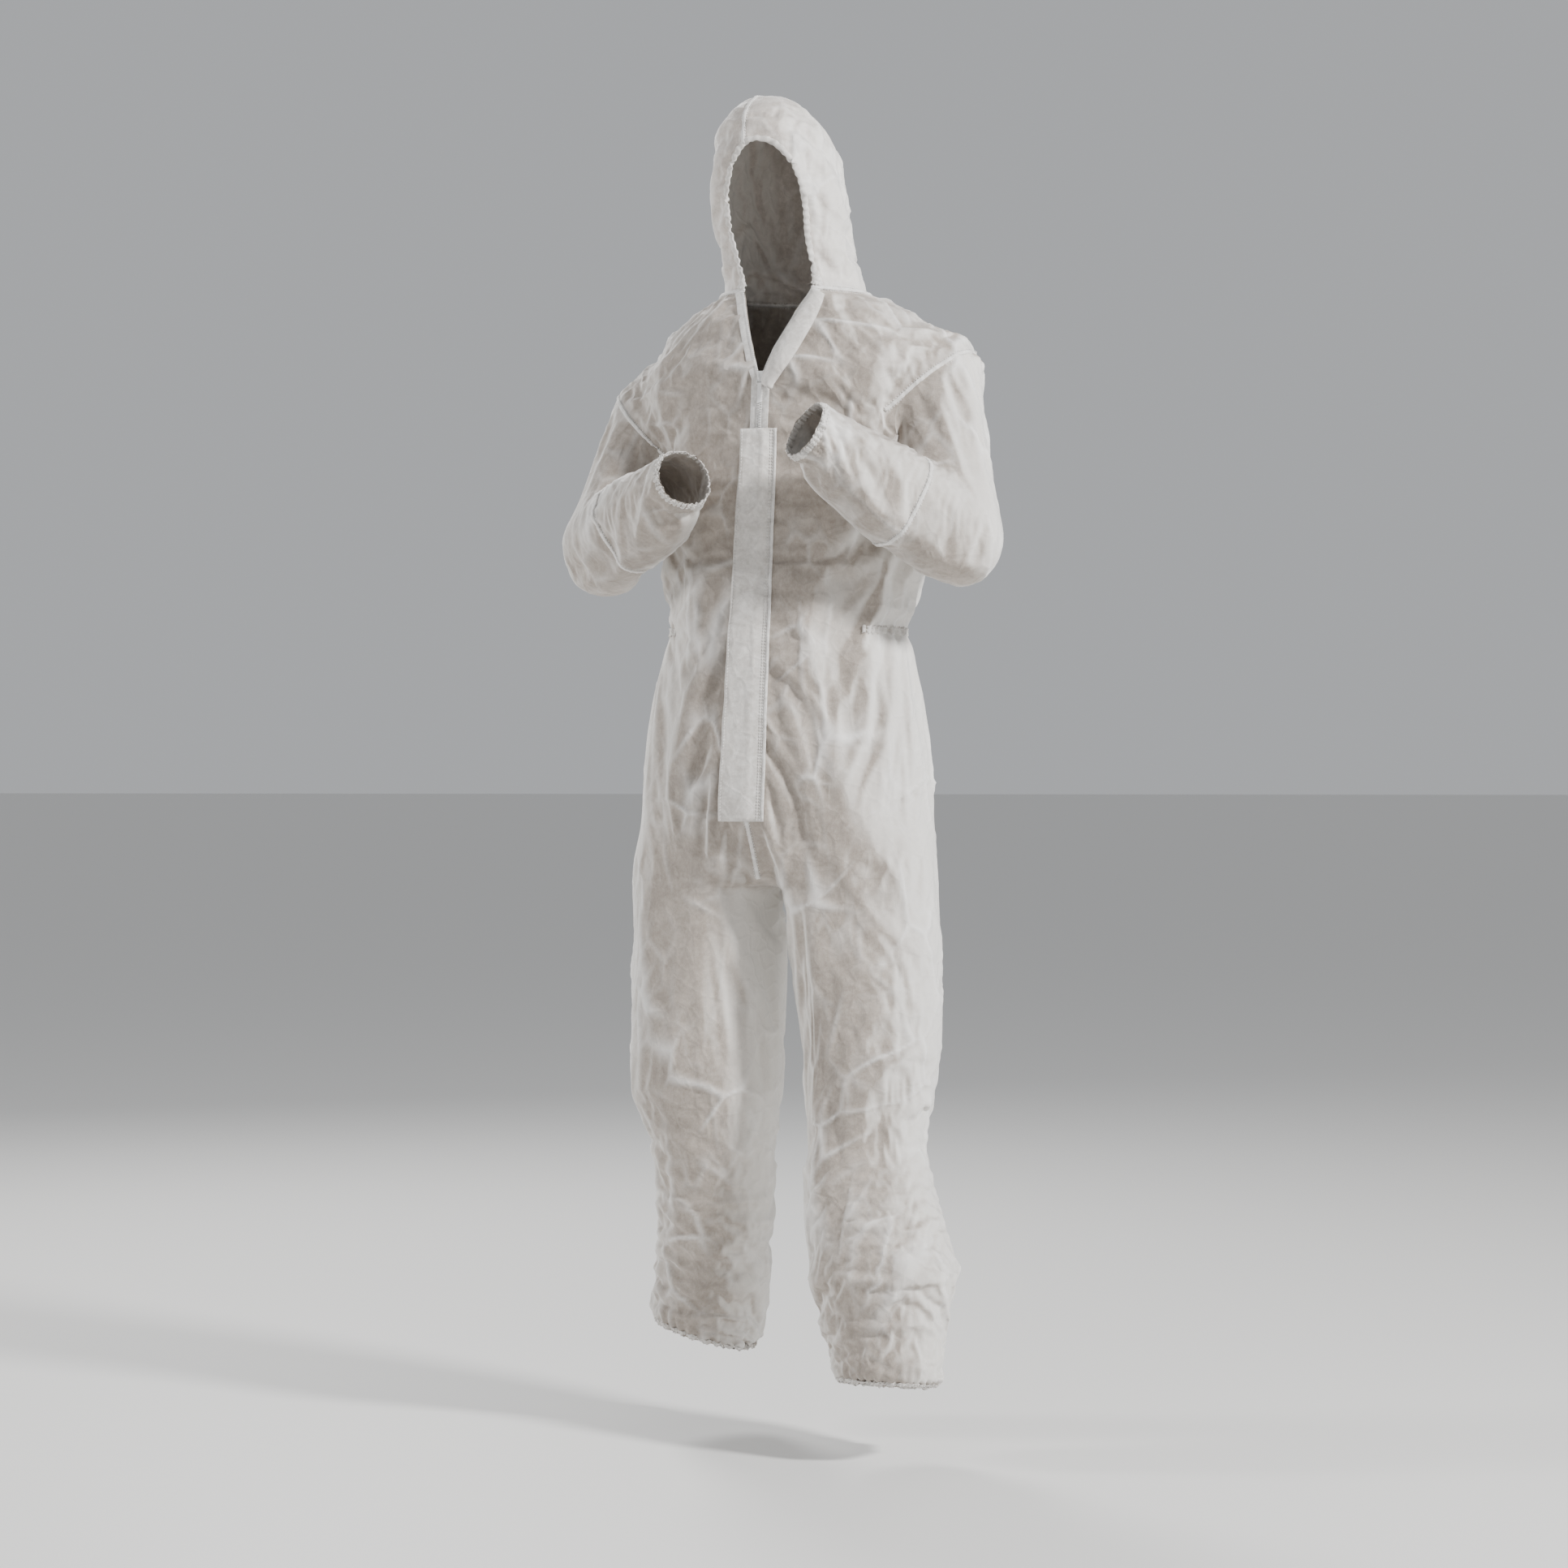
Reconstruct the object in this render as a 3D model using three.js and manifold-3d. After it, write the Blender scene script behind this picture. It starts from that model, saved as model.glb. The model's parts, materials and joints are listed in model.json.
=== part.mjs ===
// A disposable hooded coverall for chemical protection, standing as it is worn: left foot forward,
// both elbows bent and the cuffs in front of the chest, the zip open at the throat.
// Millimetres. +Z is up, the front faces -Y, and the wearer's left is +X. Heights are given above
// the wearer's soles, and the finished suit is lowered by collarHeight, so that its origin is the
// middle of the neck ring.
import * as THREE from "three";
import { mergeVertices } from "three/addons/utils/BufferGeometryUtils.js";
import Module from "manifold-3d";

const wasm = await Module();
wasm.setup();

const V = (x, y, z) => new THREE.Vector3(x, y, z);
const radians = THREE.MathUtils.degToRad;

// ---------------------------------------------------------------- driving dimensions
const cloth = 1.6; // a panel's thickness, with room for its creases
const gap = 0.3; // between pieces that touch
const under = 0.4; // between a panel and a band, seam or tape that lies on it
const collarHeight = 1592;
const bodySides = 32;
const limbSides = 20;

// Where one cloth panel gives way to the next.
const crotchHeight = 786;
const briefSlope = 0.61; // a body panel's lower edge climbs this much for each millimetre out to the hip
const thighTop = 735;
const kneeTop = 515;
const shinTop = 395;
const waistHeight = 1121;
const hoodFoot = 1662; // above the soft neck of the hood

// ---------------------------------------------------------------- shapes that the panels are cut from
// The zip runs up a straight line and opens above zipFork. The face opening starts where the zip's
// two ends stop.
const zipFoot = V(0, -152, 862);
const zipFork = V(20, -147, 1462);
const throatLeft = 70;
const throatRight = -23;
const zipSlot = 4.6; // from the zip's line to a front panel's edge
const onZip = (z) => zipFoot.clone().lerp(zipFork, (z - zipFoot.z) / (zipFork.z - zipFoot.z));

// The trunk, legs and hood are stacks of flat rings. A ring has a middle, a half width, and a depth
// to the front and to the back. Most of the trunk's rings have their foremost point on the zip's line.
const zipRing = (z, half, back) => ({ z, x: onZip(z).x, y: 0, half, front: -onZip(z).y, back });
const trunk = [
  { z: 785, x: 0, y: 0, half: 95, front: 70, back: 75 },
  { z: 800, x: 0, y: 0, half: 150, front: 106, back: 105 },
  { z: 830, x: 0, y: 0, half: 198, front: 140, back: 130 },
  zipRing(862, 211, 140),
  zipRing(960, 208, 145),
  zipRing(1040, 193, 138),
  zipRing(1095, 178, 125),
  zipRing(waistHeight, 171, 118),
  zipRing(1148, 176, 125),
  zipRing(1210, 183, 136),
  zipRing(1290, 181, 140),
  zipRing(1370, 182, 140),
  zipRing(1435, 192, 132),
  zipRing(1480, 199, 120),
  { z: 1520, x: 18, y: 0, half: 199, front: 130, back: 108 },
  { z: 1545, x: 18, y: 0, half: 181, front: 120, back: 100 },
  { z: 1567, x: 18, y: 0, half: 144, front: 108, back: 92 },
  { z: 1592, x: 18, y: 0, half: 102, front: 97, back: 84 },
  { z: 1606, x: 17, y: 0, half: 97, front: 96, back: 88 },
];
const leftLeg = [
  { z: 60, x: 197, y: -122, half: 70, front: 76, back: 72 },
  { z: 110, x: 194, y: -117, half: 74, front: 80, back: 76 },
  { z: 176, x: 185, y: -108, half: 85, front: 90, back: 87 },
  { z: 262, x: 180, y: -95, half: 103, front: 107, back: 104 },
  { z: 348, x: 157, y: -79, half: 93, front: 98, back: 95 },
  { z: 435, x: 143, y: -61, half: 81, front: 88, back: 85 },
  { z: 522, x: 145, y: -45, half: 92, front: 100, back: 97 },
  { z: 608, x: 138, y: -30, half: 99, front: 106, back: 103 },
  { z: 694, x: 128, y: -17, half: 107, front: 112, back: 109 },
  { z: 750, x: 120, y: -8, half: 108, front: 114, back: 111 },
  { z: 800, x: 114, y: -3, half: 108, front: 116, back: 113 },
  { z: 860, x: 110, y: 0, half: 104, front: 112, back: 110 },
  { z: 905, x: 106, y: 0, half: 92, front: 94, back: 92 },
];
const rightLeg = [
  { z: 60, x: -134, y: 40, half: 76, front: 82, back: 82 },
  { z: 135, x: -131, y: 34, half: 79, front: 84, back: 84 },
  { z: 227, x: -119, y: 20, half: 79, front: 84, back: 82 },
  { z: 319, x: -103, y: 4, half: 83, front: 88, back: 86 },
  { z: 411, x: -101, y: -12, half: 87, front: 93, back: 89 },
  { z: 503, x: -111, y: -18, half: 105, front: 110, back: 106 },
  { z: 595, x: -110, y: -12, half: 104, front: 112, back: 108 },
  { z: 687, x: -114, y: -5, half: 104, front: 111, back: 108 },
  { z: 750, x: -115, y: -2, half: 106, front: 113, back: 110 },
  { z: 800, x: -113, y: 0, half: 108, front: 116, back: 113 },
  { z: 860, x: -110, y: 0, half: 104, front: 112, back: 110 },
  { z: 905, x: -106, y: 0, half: 92, front: 94, back: 92 },
];
const hood = [
  { z: 1578, x: 18, y: 0, half: 101, front: 96, back: 82 },
  { z: 1606, x: 17, y: 0, half: 97, front: 97, back: 88 },
  { z: 1642, x: 13, y: -5, half: 93, front: 110, back: 106 },
  { z: 1690, x: 8, y: -18, half: 92, front: 118, back: 117 },
  { z: 1735, x: 5, y: -28, half: 91, front: 118, back: 119 },
  { z: 1780, x: 2, y: -36, half: 84, front: 110, back: 113 },
  { z: 1815, x: 0, y: -42, half: 71, front: 95, back: 98 },
  { z: 1841, x: -1, y: -47, half: 50, front: 68, back: 72 },
  { z: 1855, x: -2, y: -50, half: 27, front: 38, back: 42 },
  { z: 1860, x: -2, y: -51, half: 8, front: 11, back: 13 },
];

// Each sleeve is an upper arm and a forearm. Radii run evenly from the shoulder to the elbow, and on
// to past the wrist.
const leftArm = {
  shoulder: V(197, 30, 1474),
  elbow: V(281, -72, 1257),
  wrist: V(117, -245, 1379),
  upperRadii: [79, 75, 68, 63, 61],
  foreRadii: [62, 61, 59, 53, 38],
};
const rightArm = {
  shoulder: V(-181, 30, 1437),
  elbow: V(-248, -68, 1250),
  wrist: V(-58, -232, 1322),
  upperRadii: [78, 74, 67, 62, 60],
  foreRadii: [61, 60, 58, 52, 38],
};

const faceTop = 1790;
const faceMiddle = { x: 13, z: 1690, half: 54 };

// ---------------------------------------------------------------- solids
/** A three.js geometry as a manifold-3d solid. */
function solid(geometry) {
  const bare = geometry.clone();
  bare.deleteAttribute("normal");
  bare.deleteAttribute("uv");
  const merged = mergeVertices(bare, 1e-3);
  return new wasm.Manifold(
    new wasm.Mesh({
      numProp: 3,
      vertProperties: merged.attributes.position.array,
      triVerts: new Uint32Array(merged.index.array),
    }),
  );
}

/** A manifold-3d solid as a three.js geometry. */
function geometryOf(body) {
  const { numProp, numVert, vertProperties, triVerts } = body.getMesh();
  const places = new Float32Array(numVert * 3);
  for (let i = 0; i < numVert; i++) {
    places.set(vertProperties.subarray(i * numProp, i * numProp + 3), i * 3);
  }
  const geometry = new THREE.BufferGeometry();
  geometry.setAttribute("position", new THREE.BufferAttribute(places, 3));
  geometry.setIndex(new THREE.BufferAttribute(triVerts, 1));
  geometry.computeVertexNormals();
  return geometry;
}

/** A stack of rings from the lowest to the highest, closed by a flat cap at each end. */
function stack(rings, sides, grow) {
  const first = rings[0];
  const last = rings.at(-1);
  const places = [];
  for (const ring of rings) {
    const z = ring.z + (ring === last ? grow : 0) - (ring === first ? grow : 0);
    for (let i = 0; i < sides; i++) {
      const turn = (2 * Math.PI * i) / sides;
      const depth = Math.sin(turn) < 0 ? ring.front : ring.back;
      places.push(
        ring.x + (ring.half + grow) * Math.cos(turn),
        ring.y + (depth + grow) * Math.sin(turn),
        z,
      );
    }
  }
  places.push(first.x, first.y, first.z - grow, last.x, last.y, last.z + grow);
  const foot = rings.length * sides;
  const top = (rings.length - 1) * sides;
  const faces = [];
  for (let i = 0; i < sides; i++) {
    const next = (i + 1) % sides;
    for (let row = 0; row < top; row += sides) {
      faces.push(row + i, row + next, row + sides + next);
      faces.push(row + i, row + sides + next, row + sides + i);
    }
    faces.push(foot, next, i, foot + 1, top + i, top + next);
  }
  const geometry = new THREE.BufferGeometry();
  geometry.setAttribute("position", new THREE.Float32BufferAttribute(places, 3));
  geometry.setIndex(faces);
  return solid(geometry);
}

/** A limb turned about the line between two points, with the given radii along it and a ball at each end. */
function limb(from, to, radii, grow) {
  const length = from.distanceTo(to);
  const ballSteps = 4;
  const profile = [];
  for (let i = 0; i < ballSteps; i++) {
    const turn = (Math.PI / 2) * (i / ballSteps - 1);
    const r = radii[0] + grow;
    profile.push(new THREE.Vector2(r * Math.cos(turn), r * Math.sin(turn)));
  }
  radii.forEach((r, i) => {
    profile.push(new THREE.Vector2(r + grow, (length * i) / (radii.length - 1)));
  });
  for (let i = 1; i <= ballSteps; i++) {
    const turn = (Math.PI / 2) * (i / ballSteps);
    const r = radii.at(-1) + grow;
    profile.push(new THREE.Vector2(r * Math.cos(turn), length + r * Math.sin(turn)));
  }
  profile[0].x = 0;
  profile.at(-1).x = 0;
  const direction = to.clone().sub(from).normalize();
  const geometry = new THREE.LatheGeometry(profile, limbSides);
  geometry.applyQuaternion(new THREE.Quaternion().setFromUnitVectors(V(0, 1, 0), direction));
  geometry.translate(from.x, from.y, from.z);
  return solid(geometry);
}

/** The space between two parallel planes: from low to high along a direction through a point. */
function slab(point, direction, low, high) {
  const wide = 4000;
  const geometry = new THREE.BoxGeometry(wide, wide, high - low);
  geometry.translate(0, 0, (low + high) / 2);
  const turn = new THREE.Quaternion().setFromUnitVectors(V(0, 0, 1), direction.clone().normalize());
  geometry.applyQuaternion(turn);
  geometry.translate(point.x, point.y, point.z);
  return solid(geometry);
}

const far = 2500;
const beyond = (point, direction, from = 0) => slab(point, direction, from, far);
const between = (low, high) => slab(V(0, 0, 0), V(0, 0, 1), low, high);

/** A shape drawn on the X-Z plane, run through in Y. */
function through(shape, fromY, toY) {
  const geometry = new THREE.ExtrudeGeometry(shape, {
    depth: toY - fromY,
    bevelEnabled: false,
    curveSegments: 14,
  });
  geometry.rotateX(Math.PI / 2);
  geometry.translate(0, toY, 0);
  return solid(geometry);
}

// ---------------------------------------------------------------- the whole skin, grown by some millimetres
const armholeSlope = radians(46);
const armholes = {
  left: { point: V(246, 15, 1483), out: V(Math.cos(armholeSlope), 0, -Math.sin(armholeSlope)) },
  right: { point: V(-243, 15, 1452), out: V(-Math.cos(armholeSlope), 0, -Math.sin(armholeSlope)) },
};
const arms = { left: leftArm, right: rightArm };

const upperArm = (arm, grow) => limb(arm.shoulder, arm.elbow, arm.upperRadii, grow);
const forearm = (arm, grow) => limb(arm.elbow, arm.wrist, arm.foreRadii, grow);
const wholeArm = (arm, grow) => upperArm(arm, grow).add(forearm(arm, grow));

/** The trunk with its drop shoulders and legs. Shoulders stop at the armhole seams, or run past them. */
function bodySkin(grow, reach = 0) {
  let skin = stack(trunk, bodySides, grow);
  for (const [side, arm] of Object.entries(arms)) {
    const { point, out } = armholes[side];
    skin = skin.add(upperArm(arm, grow).subtract(beyond(point, out, reach)));
  }
  return skin.add(stack(leftLeg, limbSides, grow)).add(stack(rightLeg, limbSides, grow));
}

const hoodSkin = (grow) => stack(hood, bodySides, grow);

/** The layer of a skin between two growths. */
const layer = (skin, low, high) => skin(high).subtract(skin(low));

// ---------------------------------------------------------------- lines that the panels are cut along
/** The zip's line on one side, from its foot past the throat, moved sideways by shift. */
function zipLine(side, shift) {
  const throat = side > 0 ? throatLeft : throatRight;
  return [
    new THREE.Vector2(zipFoot.x + side * shift, zipFoot.z),
    new THREE.Vector2(zipFork.x + side * shift, zipFork.z),
    new THREE.Vector2(throat + side * shift, collarHeight),
  ];
}

/** The band beside the zip's line on one side, from near to far. It ends a little under the collar. */
function zipBand(side, near, away) {
  const inner = zipLine(side, near);
  const outer = zipLine(side, away);
  return new THREE.Shape([...inner, ...outer.reverse()]);
}

const frontFar = -400;
const frontNear = -30;
const openShape = new THREE.Shape([
  ...zipLine(1, zipSlot),
  new THREE.Vector2(throatLeft + zipSlot, collarHeight + 40),
  new THREE.Vector2(throatRight - zipSlot, collarHeight + 40),
  ...zipLine(-1, zipSlot).reverse(),
]);
const frontOpening = through(openShape, frontFar, frontNear);

/** The face opening: upright sides from the throat and a round top, grown by some millimetres. */
function faceShape(grow) {
  const { x, z, half } = faceMiddle;
  const shape = new THREE.Shape();
  shape.moveTo(throatRight - zipSlot - grow, collarHeight - 30);
  shape.lineTo(throatRight - zipSlot - grow, collarHeight + 8);
  shape.quadraticCurveTo(x - half - grow, z - 50, x - half - grow, z);
  shape.absellipse(x, z, half + grow, faceTop - z + grow, Math.PI, 0, true);
  shape.quadraticCurveTo(x + half + grow + 4, z - 50, throatLeft + zipSlot + grow, collarHeight + 8);
  shape.lineTo(throatLeft + zipSlot + grow, collarHeight - 30);
  return shape;
}
const faceOpening = (grow) => through(faceShape(grow), frontFar, -45);

// The left and right halves meet under the zip's line, and on a level line through the crotch below it.
const zipUp = zipFork.clone().sub(zipFoot).normalize();
const leftward = V(1, 0, -zipUp.x / zipUp.z).normalize();
const half = (side) =>
  beyond(zipFoot, leftward.clone().multiplyScalar(side), gap / 2)
    .intersect(between(zipFoot.z, far))
    .add(beyond(zipFoot, V(side, 0, 0), gap / 2).intersect(between(0, zipFoot.z)));
const hoodLeftward = V(1, -0.07, 0.08).normalize();
const hoodMiddle = V(5, -28, 1735);
const hoodHalf = (side) => beyond(hoodMiddle, hoodLeftward.clone().multiplyScalar(side), gap / 2);

// Hems. The left one is nearly level, and the right one climbs over the foot that points aside.
const hems = {
  left: { point: V(194, -118, 100), up: V(0.02, 0.12, 1).normalize() },
  right: { point: V(-131, 36, 132), up: V(0.31, 0.05, 1).normalize() },
};
const aboveHems = beyond(hems.left.point, hems.left.up)
  .intersect(slab(V(0, 0, 0), V(1, 0, 0), 12, far))
  .add(beyond(hems.right.point, hems.right.up).intersect(slab(V(0, 0, 0), V(1, 0, 0), -far, 12)))
  .add(between(600, far));

// ---------------------------------------------------------------- scene graph
const materials = {
  spunbond: new THREE.MeshStandardMaterial({ color: 0xdcd7cf, roughness: 0.9, metalness: 0 }),
  seam: new THREE.MeshStandardMaterial({ color: 0xf3f0ea, roughness: 0.85, metalness: 0 }),
  elastic: new THREE.MeshStandardMaterial({ color: 0xeceae4, roughness: 0.8, metalness: 0 }),
  tape: new THREE.MeshStandardMaterial({ color: 0xe9e7e1, roughness: 0.8, metalness: 0 }),
  nylon: new THREE.MeshStandardMaterial({ color: 0xf2f1ec, roughness: 0.4, metalness: 0 }),
};
const sliver = 0.12; // detail finer than this is dropped from a cut piece
const suit = new THREE.Group();
const worn = new THREE.Group();
worn.position.z = -collarHeight;
suit.add(worn);

/** Adds a piece, without the slivers that a cut can leave beside it. */
function add(name, material, body) {
  const largest = body.decompose().sort((a, b) => b.volume() - a.volume())[0];
  const mesh = new THREE.Mesh(geometryOf(largest.simplify(sliver)), materials[material]);
  mesh.name = name;
  worn.add(mesh);
}

// ---------------------------------------------------------------- trunk and legs
const sides = { left: 1, right: -1 };
const armholeReach = 75; // the sleeve's inside runs on this far through the trunk's side
const sideLine = V(0, 12, 0); // the front and back panels meet at this depth
const bodyCloth = bodySkin(0)
  .subtract(bodySkin(-cloth, armholeReach))
  .subtract(between(collarHeight, far))
  .subtract(frontOpening)
  .intersect(aboveHems);

for (const [side, sign] of Object.entries(sides)) {
  const halfCloth = bodyCloth.intersect(half(sign));
  const aboveBrief = beyond(V(0, 0, crotchHeight), V(-sign * briefSlope, 0, 1));
  const clearOfBrief = beyond(V(0, 0, crotchHeight - gap), V(-sign * briefSlope, 0, 1));
  const upper = halfCloth.intersect(aboveBrief);
  add(`${side}_front_panel`, "spunbond", upper.intersect(beyond(sideLine, V(0, -1, 0), gap / 2)));
  add(`${side}_back_panel`, "spunbond", upper.intersect(beyond(sideLine, V(0, 1, 0), gap / 2)));
  add(
    `${side}_hip_fold`,
    "spunbond",
    halfCloth.intersect(between(thighTop + gap, far)).subtract(clearOfBrief),
  );
  const zones = [
    ["thigh_panel", kneeTop + gap, thighTop],
    ["knee_fold", shinTop + gap, kneeTop],
    ["shin_panel", 0, shinTop],
  ];
  for (const [zone, low, high] of zones) {
    add(`${side}_${zone}`, "spunbond", halfCloth.intersect(between(low, high)));
  }
}

// ---------------------------------------------------------------- sleeves
const upperLength = 60; // the stiffer part of a sleeve between the shoulder's fold and the elbow's
const elbowFold = 93; // along each side of the elbow
const armholeClearance = 1; // between a sleeve and the trunk's side
const seamHeight = 1.2;
const seamWidth = 4;
const seamReach = 6; // how far out of the cloth a seam's cut reaches
const underArm = 1300; // the armhole seams are above this
const hemBand = 11; // the width of the elastics at the cuffs and ankles
const riseFoot = 800; // the seams through the crotch start here
const elasticHeight = 2.4;
for (const [side, arm] of Object.entries(arms)) {
  const { point, out } = armholes[side];
  const down = arm.elbow.clone().sub(arm.shoulder).normalize();
  const along = arm.wrist.clone().sub(arm.elbow).normalize();
  const foreSide = beyond(arm.elbow, down.clone().add(along));
  const sleeve = wholeArm(arm, 0)
    .subtract(wholeArm(arm, -cloth))
    .subtract(beyond(arm.wrist, along).intersect(foreSide))
    .intersect(beyond(point, out, gap).add(foreSide))
    .subtract(bodySkin(armholeClearance));
  const foldEnd = arm.elbow.clone().addScaledVector(down, -elbowFold - upperLength);
  const elbowIn = arm.elbow.clone().addScaledVector(down, -elbowFold);
  const elbowOut = arm.elbow.clone().addScaledVector(along, elbowFold);
  const lower = beyond(elbowOut, along, gap).intersect(foreSide);
  const upper = slab(foldEnd, down, gap, upperLength - gap).subtract(foreSide);
  const shoulder = sleeve.subtract(beyond(foldEnd, down)).subtract(foreSide);
  add(`${side}_shoulder_fold`, "spunbond", shoulder);
  add(`${side}_upper_sleeve`, "spunbond", sleeve.intersect(upper));
  const aboveElbow = slab(elbowIn, down, -far, 0).subtract(foreSide);
  const elbow = sleeve.subtract(aboveElbow).subtract(beyond(elbowOut, along).intersect(foreSide));
  add(`${side}_elbow_fold`, "spunbond", elbow);
  add(`${side}_lower_sleeve`, "spunbond", sleeve.intersect(lower));

  const seamSlab = slab(point, out, -seamWidth - gap, -gap).intersect(upperArm(arm, seamReach));
  const ridge = layer((grow) => bodySkin(grow, armholeReach), under, under + seamHeight);
  add(`${side}_armhole_seam`, "seam", ridge.intersect(seamSlab).subtract(between(0, underArm)));
  const elbowSeam = slab(elbowOut, along, gap, gap + seamWidth);
  const foreRidge = layer((grow) => forearm(arm, grow), under, under + seamHeight);
  add(`${side}_elbow_seam`, "seam", foreRidge.intersect(elbowSeam));
  const band = layer((grow) => forearm(arm, grow), under, under + elasticHeight);
  add(`${side}_cuff_elastic`, "elastic", band.intersect(slab(arm.wrist, along, -hemBand, 0)));
}

// ---------------------------------------------------------------- hood
const hoodCloth = layer(hoodSkin, -cloth, 0)
  .subtract(between(0, collarHeight + gap))
  .subtract(faceOpening(0));
add("hood_neck_fold", "spunbond", hoodCloth.subtract(between(hoodFoot, far)));
for (const [side, sign] of Object.entries(sides)) {
  const cut = hoodCloth.intersect(between(hoodFoot + gap, far)).intersect(hoodHalf(sign));
  add(`${side}_hood_panel`, "spunbond", cut);
}
const hoodRidge = layer(hoodSkin, under, under + seamHeight);
const hoodSeamSlab = slab(hoodMiddle, hoodLeftward, -seamWidth / 2, seamWidth / 2);
const bindingWidth = 9;
const binding = layer(hoodSkin, under, under + 2)
  .intersect(faceOpening(bindingWidth))
  .subtract(faceOpening(-0.5))
  .subtract(between(0, collarHeight + gap));
add(
  "hood_centre_seam",
  "seam",
  hoodRidge
    .intersect(hoodSeamSlab)
    .intersect(between(hoodFoot + 12, far))
    .subtract(faceOpening(bindingWidth + gap)),
);
add("hood_face_elastic", "elastic", binding.intersect(between(hoodFoot + gap, far)));
for (const [side, sign] of Object.entries(sides)) {
  const foot = binding.subtract(between(hoodFoot, far)).intersect(hoodHalf(sign));
  add(`${side}_throat_binding`, "elastic", foot);
}
const trunkSkin = (grow) => stack(trunk, bodySides, grow);
add(
  "neck_seam",
  "seam",
  layer(trunkSkin, under, under + seamHeight)
    .intersect(between(collarHeight - seamWidth - gap, collarHeight - gap))
    .subtract(frontOpening),
);

// ---------------------------------------------------------------- waist and ankles
const waistBand = 11;
const waistFront = -70; // the elastic leaves the front flat
const onSeam = under + seamHeight + gap; // the elastic crosses over the back seam
add(
  "waist_elastic",
  "elastic",
  layer(trunkSkin, onSeam, onSeam + elasticHeight)
    .intersect(between(waistHeight - waistBand / 2, waistHeight + waistBand / 2))
    .subtract(slab(V(0, 0, 0), V(0, 1, 0), -far, waistFront)),
);
for (const [side, leg] of Object.entries({ left: leftLeg, right: rightLeg })) {
  const { point, up } = hems[side];
  const band = layer((grow) => stack(leg, limbSides, grow), under, under + elasticHeight);
  add(`${side}_ankle_elastic`, "elastic", band.intersect(slab(point, up, 0, hemBand)));
}

const middle = slab(zipFoot, V(1, 0, 0), -seamWidth / 2, seamWidth / 2);
const trunkRidge = layer(trunkSkin, under, under + seamHeight);
const frontHalf = slab(V(0, 0, 0), V(0, 1, 0), -far, 0);
const frontRise = middle.intersect(frontHalf).intersect(between(riseFoot, zipFoot.z - 6));
add("front_rise_seam", "seam", trunkRidge.intersect(frontRise));
add(
  "back_seam",
  "seam",
  trunkRidge
    .intersect(slab(zipFoot, leftward, -seamWidth / 2, seamWidth / 2))
    .subtract(frontHalf)
    .intersect(between(riseFoot, collarHeight - seamWidth - 2 * gap)),
);

// ---------------------------------------------------------------- zip
const tapeUnder = -cloth - under;
const tapeThick = 0.9;
const coilOut = 2.4; // how far the coils stand out of the tapes, through the slot in the front
const tapeFrom = 1.8; // a tape's inner and outer edges, from the zip's line
const tapeTo = 16;
const coilFrom = 1.2;
const coilTo = 3.4;
const tapeFoot = 8; // the tapes start this far above the zip's foot
const tapeLayer = layer(trunkSkin, tapeUnder - tapeThick, tapeUnder);
const coilLayer = layer(trunkSkin, tapeUnder - tapeThick / 2, tapeUnder + coilOut);
for (const [side, sign] of Object.entries(sides)) {
  const tape = through(zipBand(sign, tapeFrom, tapeTo), frontFar, frontNear);
  const coil = through(zipBand(sign, coilFrom, coilTo), frontFar, frontNear);
  const joined = tapeLayer.intersect(tape).add(coilLayer.intersect(coil));
  add(`${side}_zip_tape`, "tape", joined.intersect(between(zipFoot.z + tapeFoot, collarHeight - gap)));
}

const zipTurn = new THREE.Quaternion().setFromUnitVectors(V(0, 0, 1), zipUp);
/** Moves a geometry made about the origin onto the zip at its fork. */
function onFork(geometry) {
  geometry.applyQuaternion(zipTurn);
  geometry.translate(zipFork.x, zipFork.y, zipFork.z);
  return solid(geometry);
}
/** A box on the zip: across it, out from the cloth, and along it up from the fork. */
function zipBox(across, out, up) {
  const geometry = new THREE.BoxGeometry(across[1] - across[0], out[1] - out[0], up[1] - up[0]);
  geometry.translate((across[0] + across[1]) / 2, -(out[0] + out[1]) / 2, (up[0] + up[1]) / 2);
  return onFork(geometry);
}
/** A round pin across the zip. */
function zipPin(radius, across, out, up) {
  const geometry = new THREE.CylinderGeometry(radius, radius, 2 * across, 16);
  geometry.rotateZ(Math.PI / 2);
  geometry.translate(0, -out, up);
  return onFork(geometry);
}
const zipLength = zipFork.distanceTo(zipFoot);
const pinRadius = 0.45;
const stopUp = [6 - zipLength, 10 - zipLength];
add("zip_bottom_stop", "nylon", zipBox([-4, 4], [0.8, 2], stopUp));

// The slider is a front and a back plate, joined by a bridge between the two rows of teeth. Two ears
// on the front plate carry the pull's pin.
const pullPivot = { out: 3.4, up: -8 };
const plateAcross = [-4.6, 4.6];
const plateUp = [-6, 9];
const frontPlate = [0.9, 2.4];
const backPlate = [-5.6, -4.2];
const earOut = [frontPlate[0], 4.3];
const earUp = [-9.4, -4];
const bridge = zipBox([-0.7, 0.7], [-5, 2], [6, plateUp[1]]);
const slider = zipBox(plateAcross, frontPlate, plateUp)
  .add(zipBox(plateAcross, backPlate, plateUp))
  .add(bridge)
  .add(zipBox([-4.5, -3.3], earOut, earUp))
  .add(zipBox([3.3, 4.5], earOut, earUp))
  .add(zipPin(pinRadius, 3.6, pullPivot.out, pullPivot.up));
add("zip_slider", "nylon", slider);
const pullHalf = 2.9;
const pullLength = 26;
const eyeRadius = 1.3;
const eyeHole = 0.8;
const pull = zipPin(eyeRadius, pullHalf, pullPivot.out, pullPivot.up)
  .add(zipBox([-pullHalf, pullHalf], [2.7, 4.1], [pullPivot.up - pullLength, pullPivot.up]))
  .subtract(zipPin(eyeHole, 4, pullPivot.out, pullPivot.up));
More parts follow.
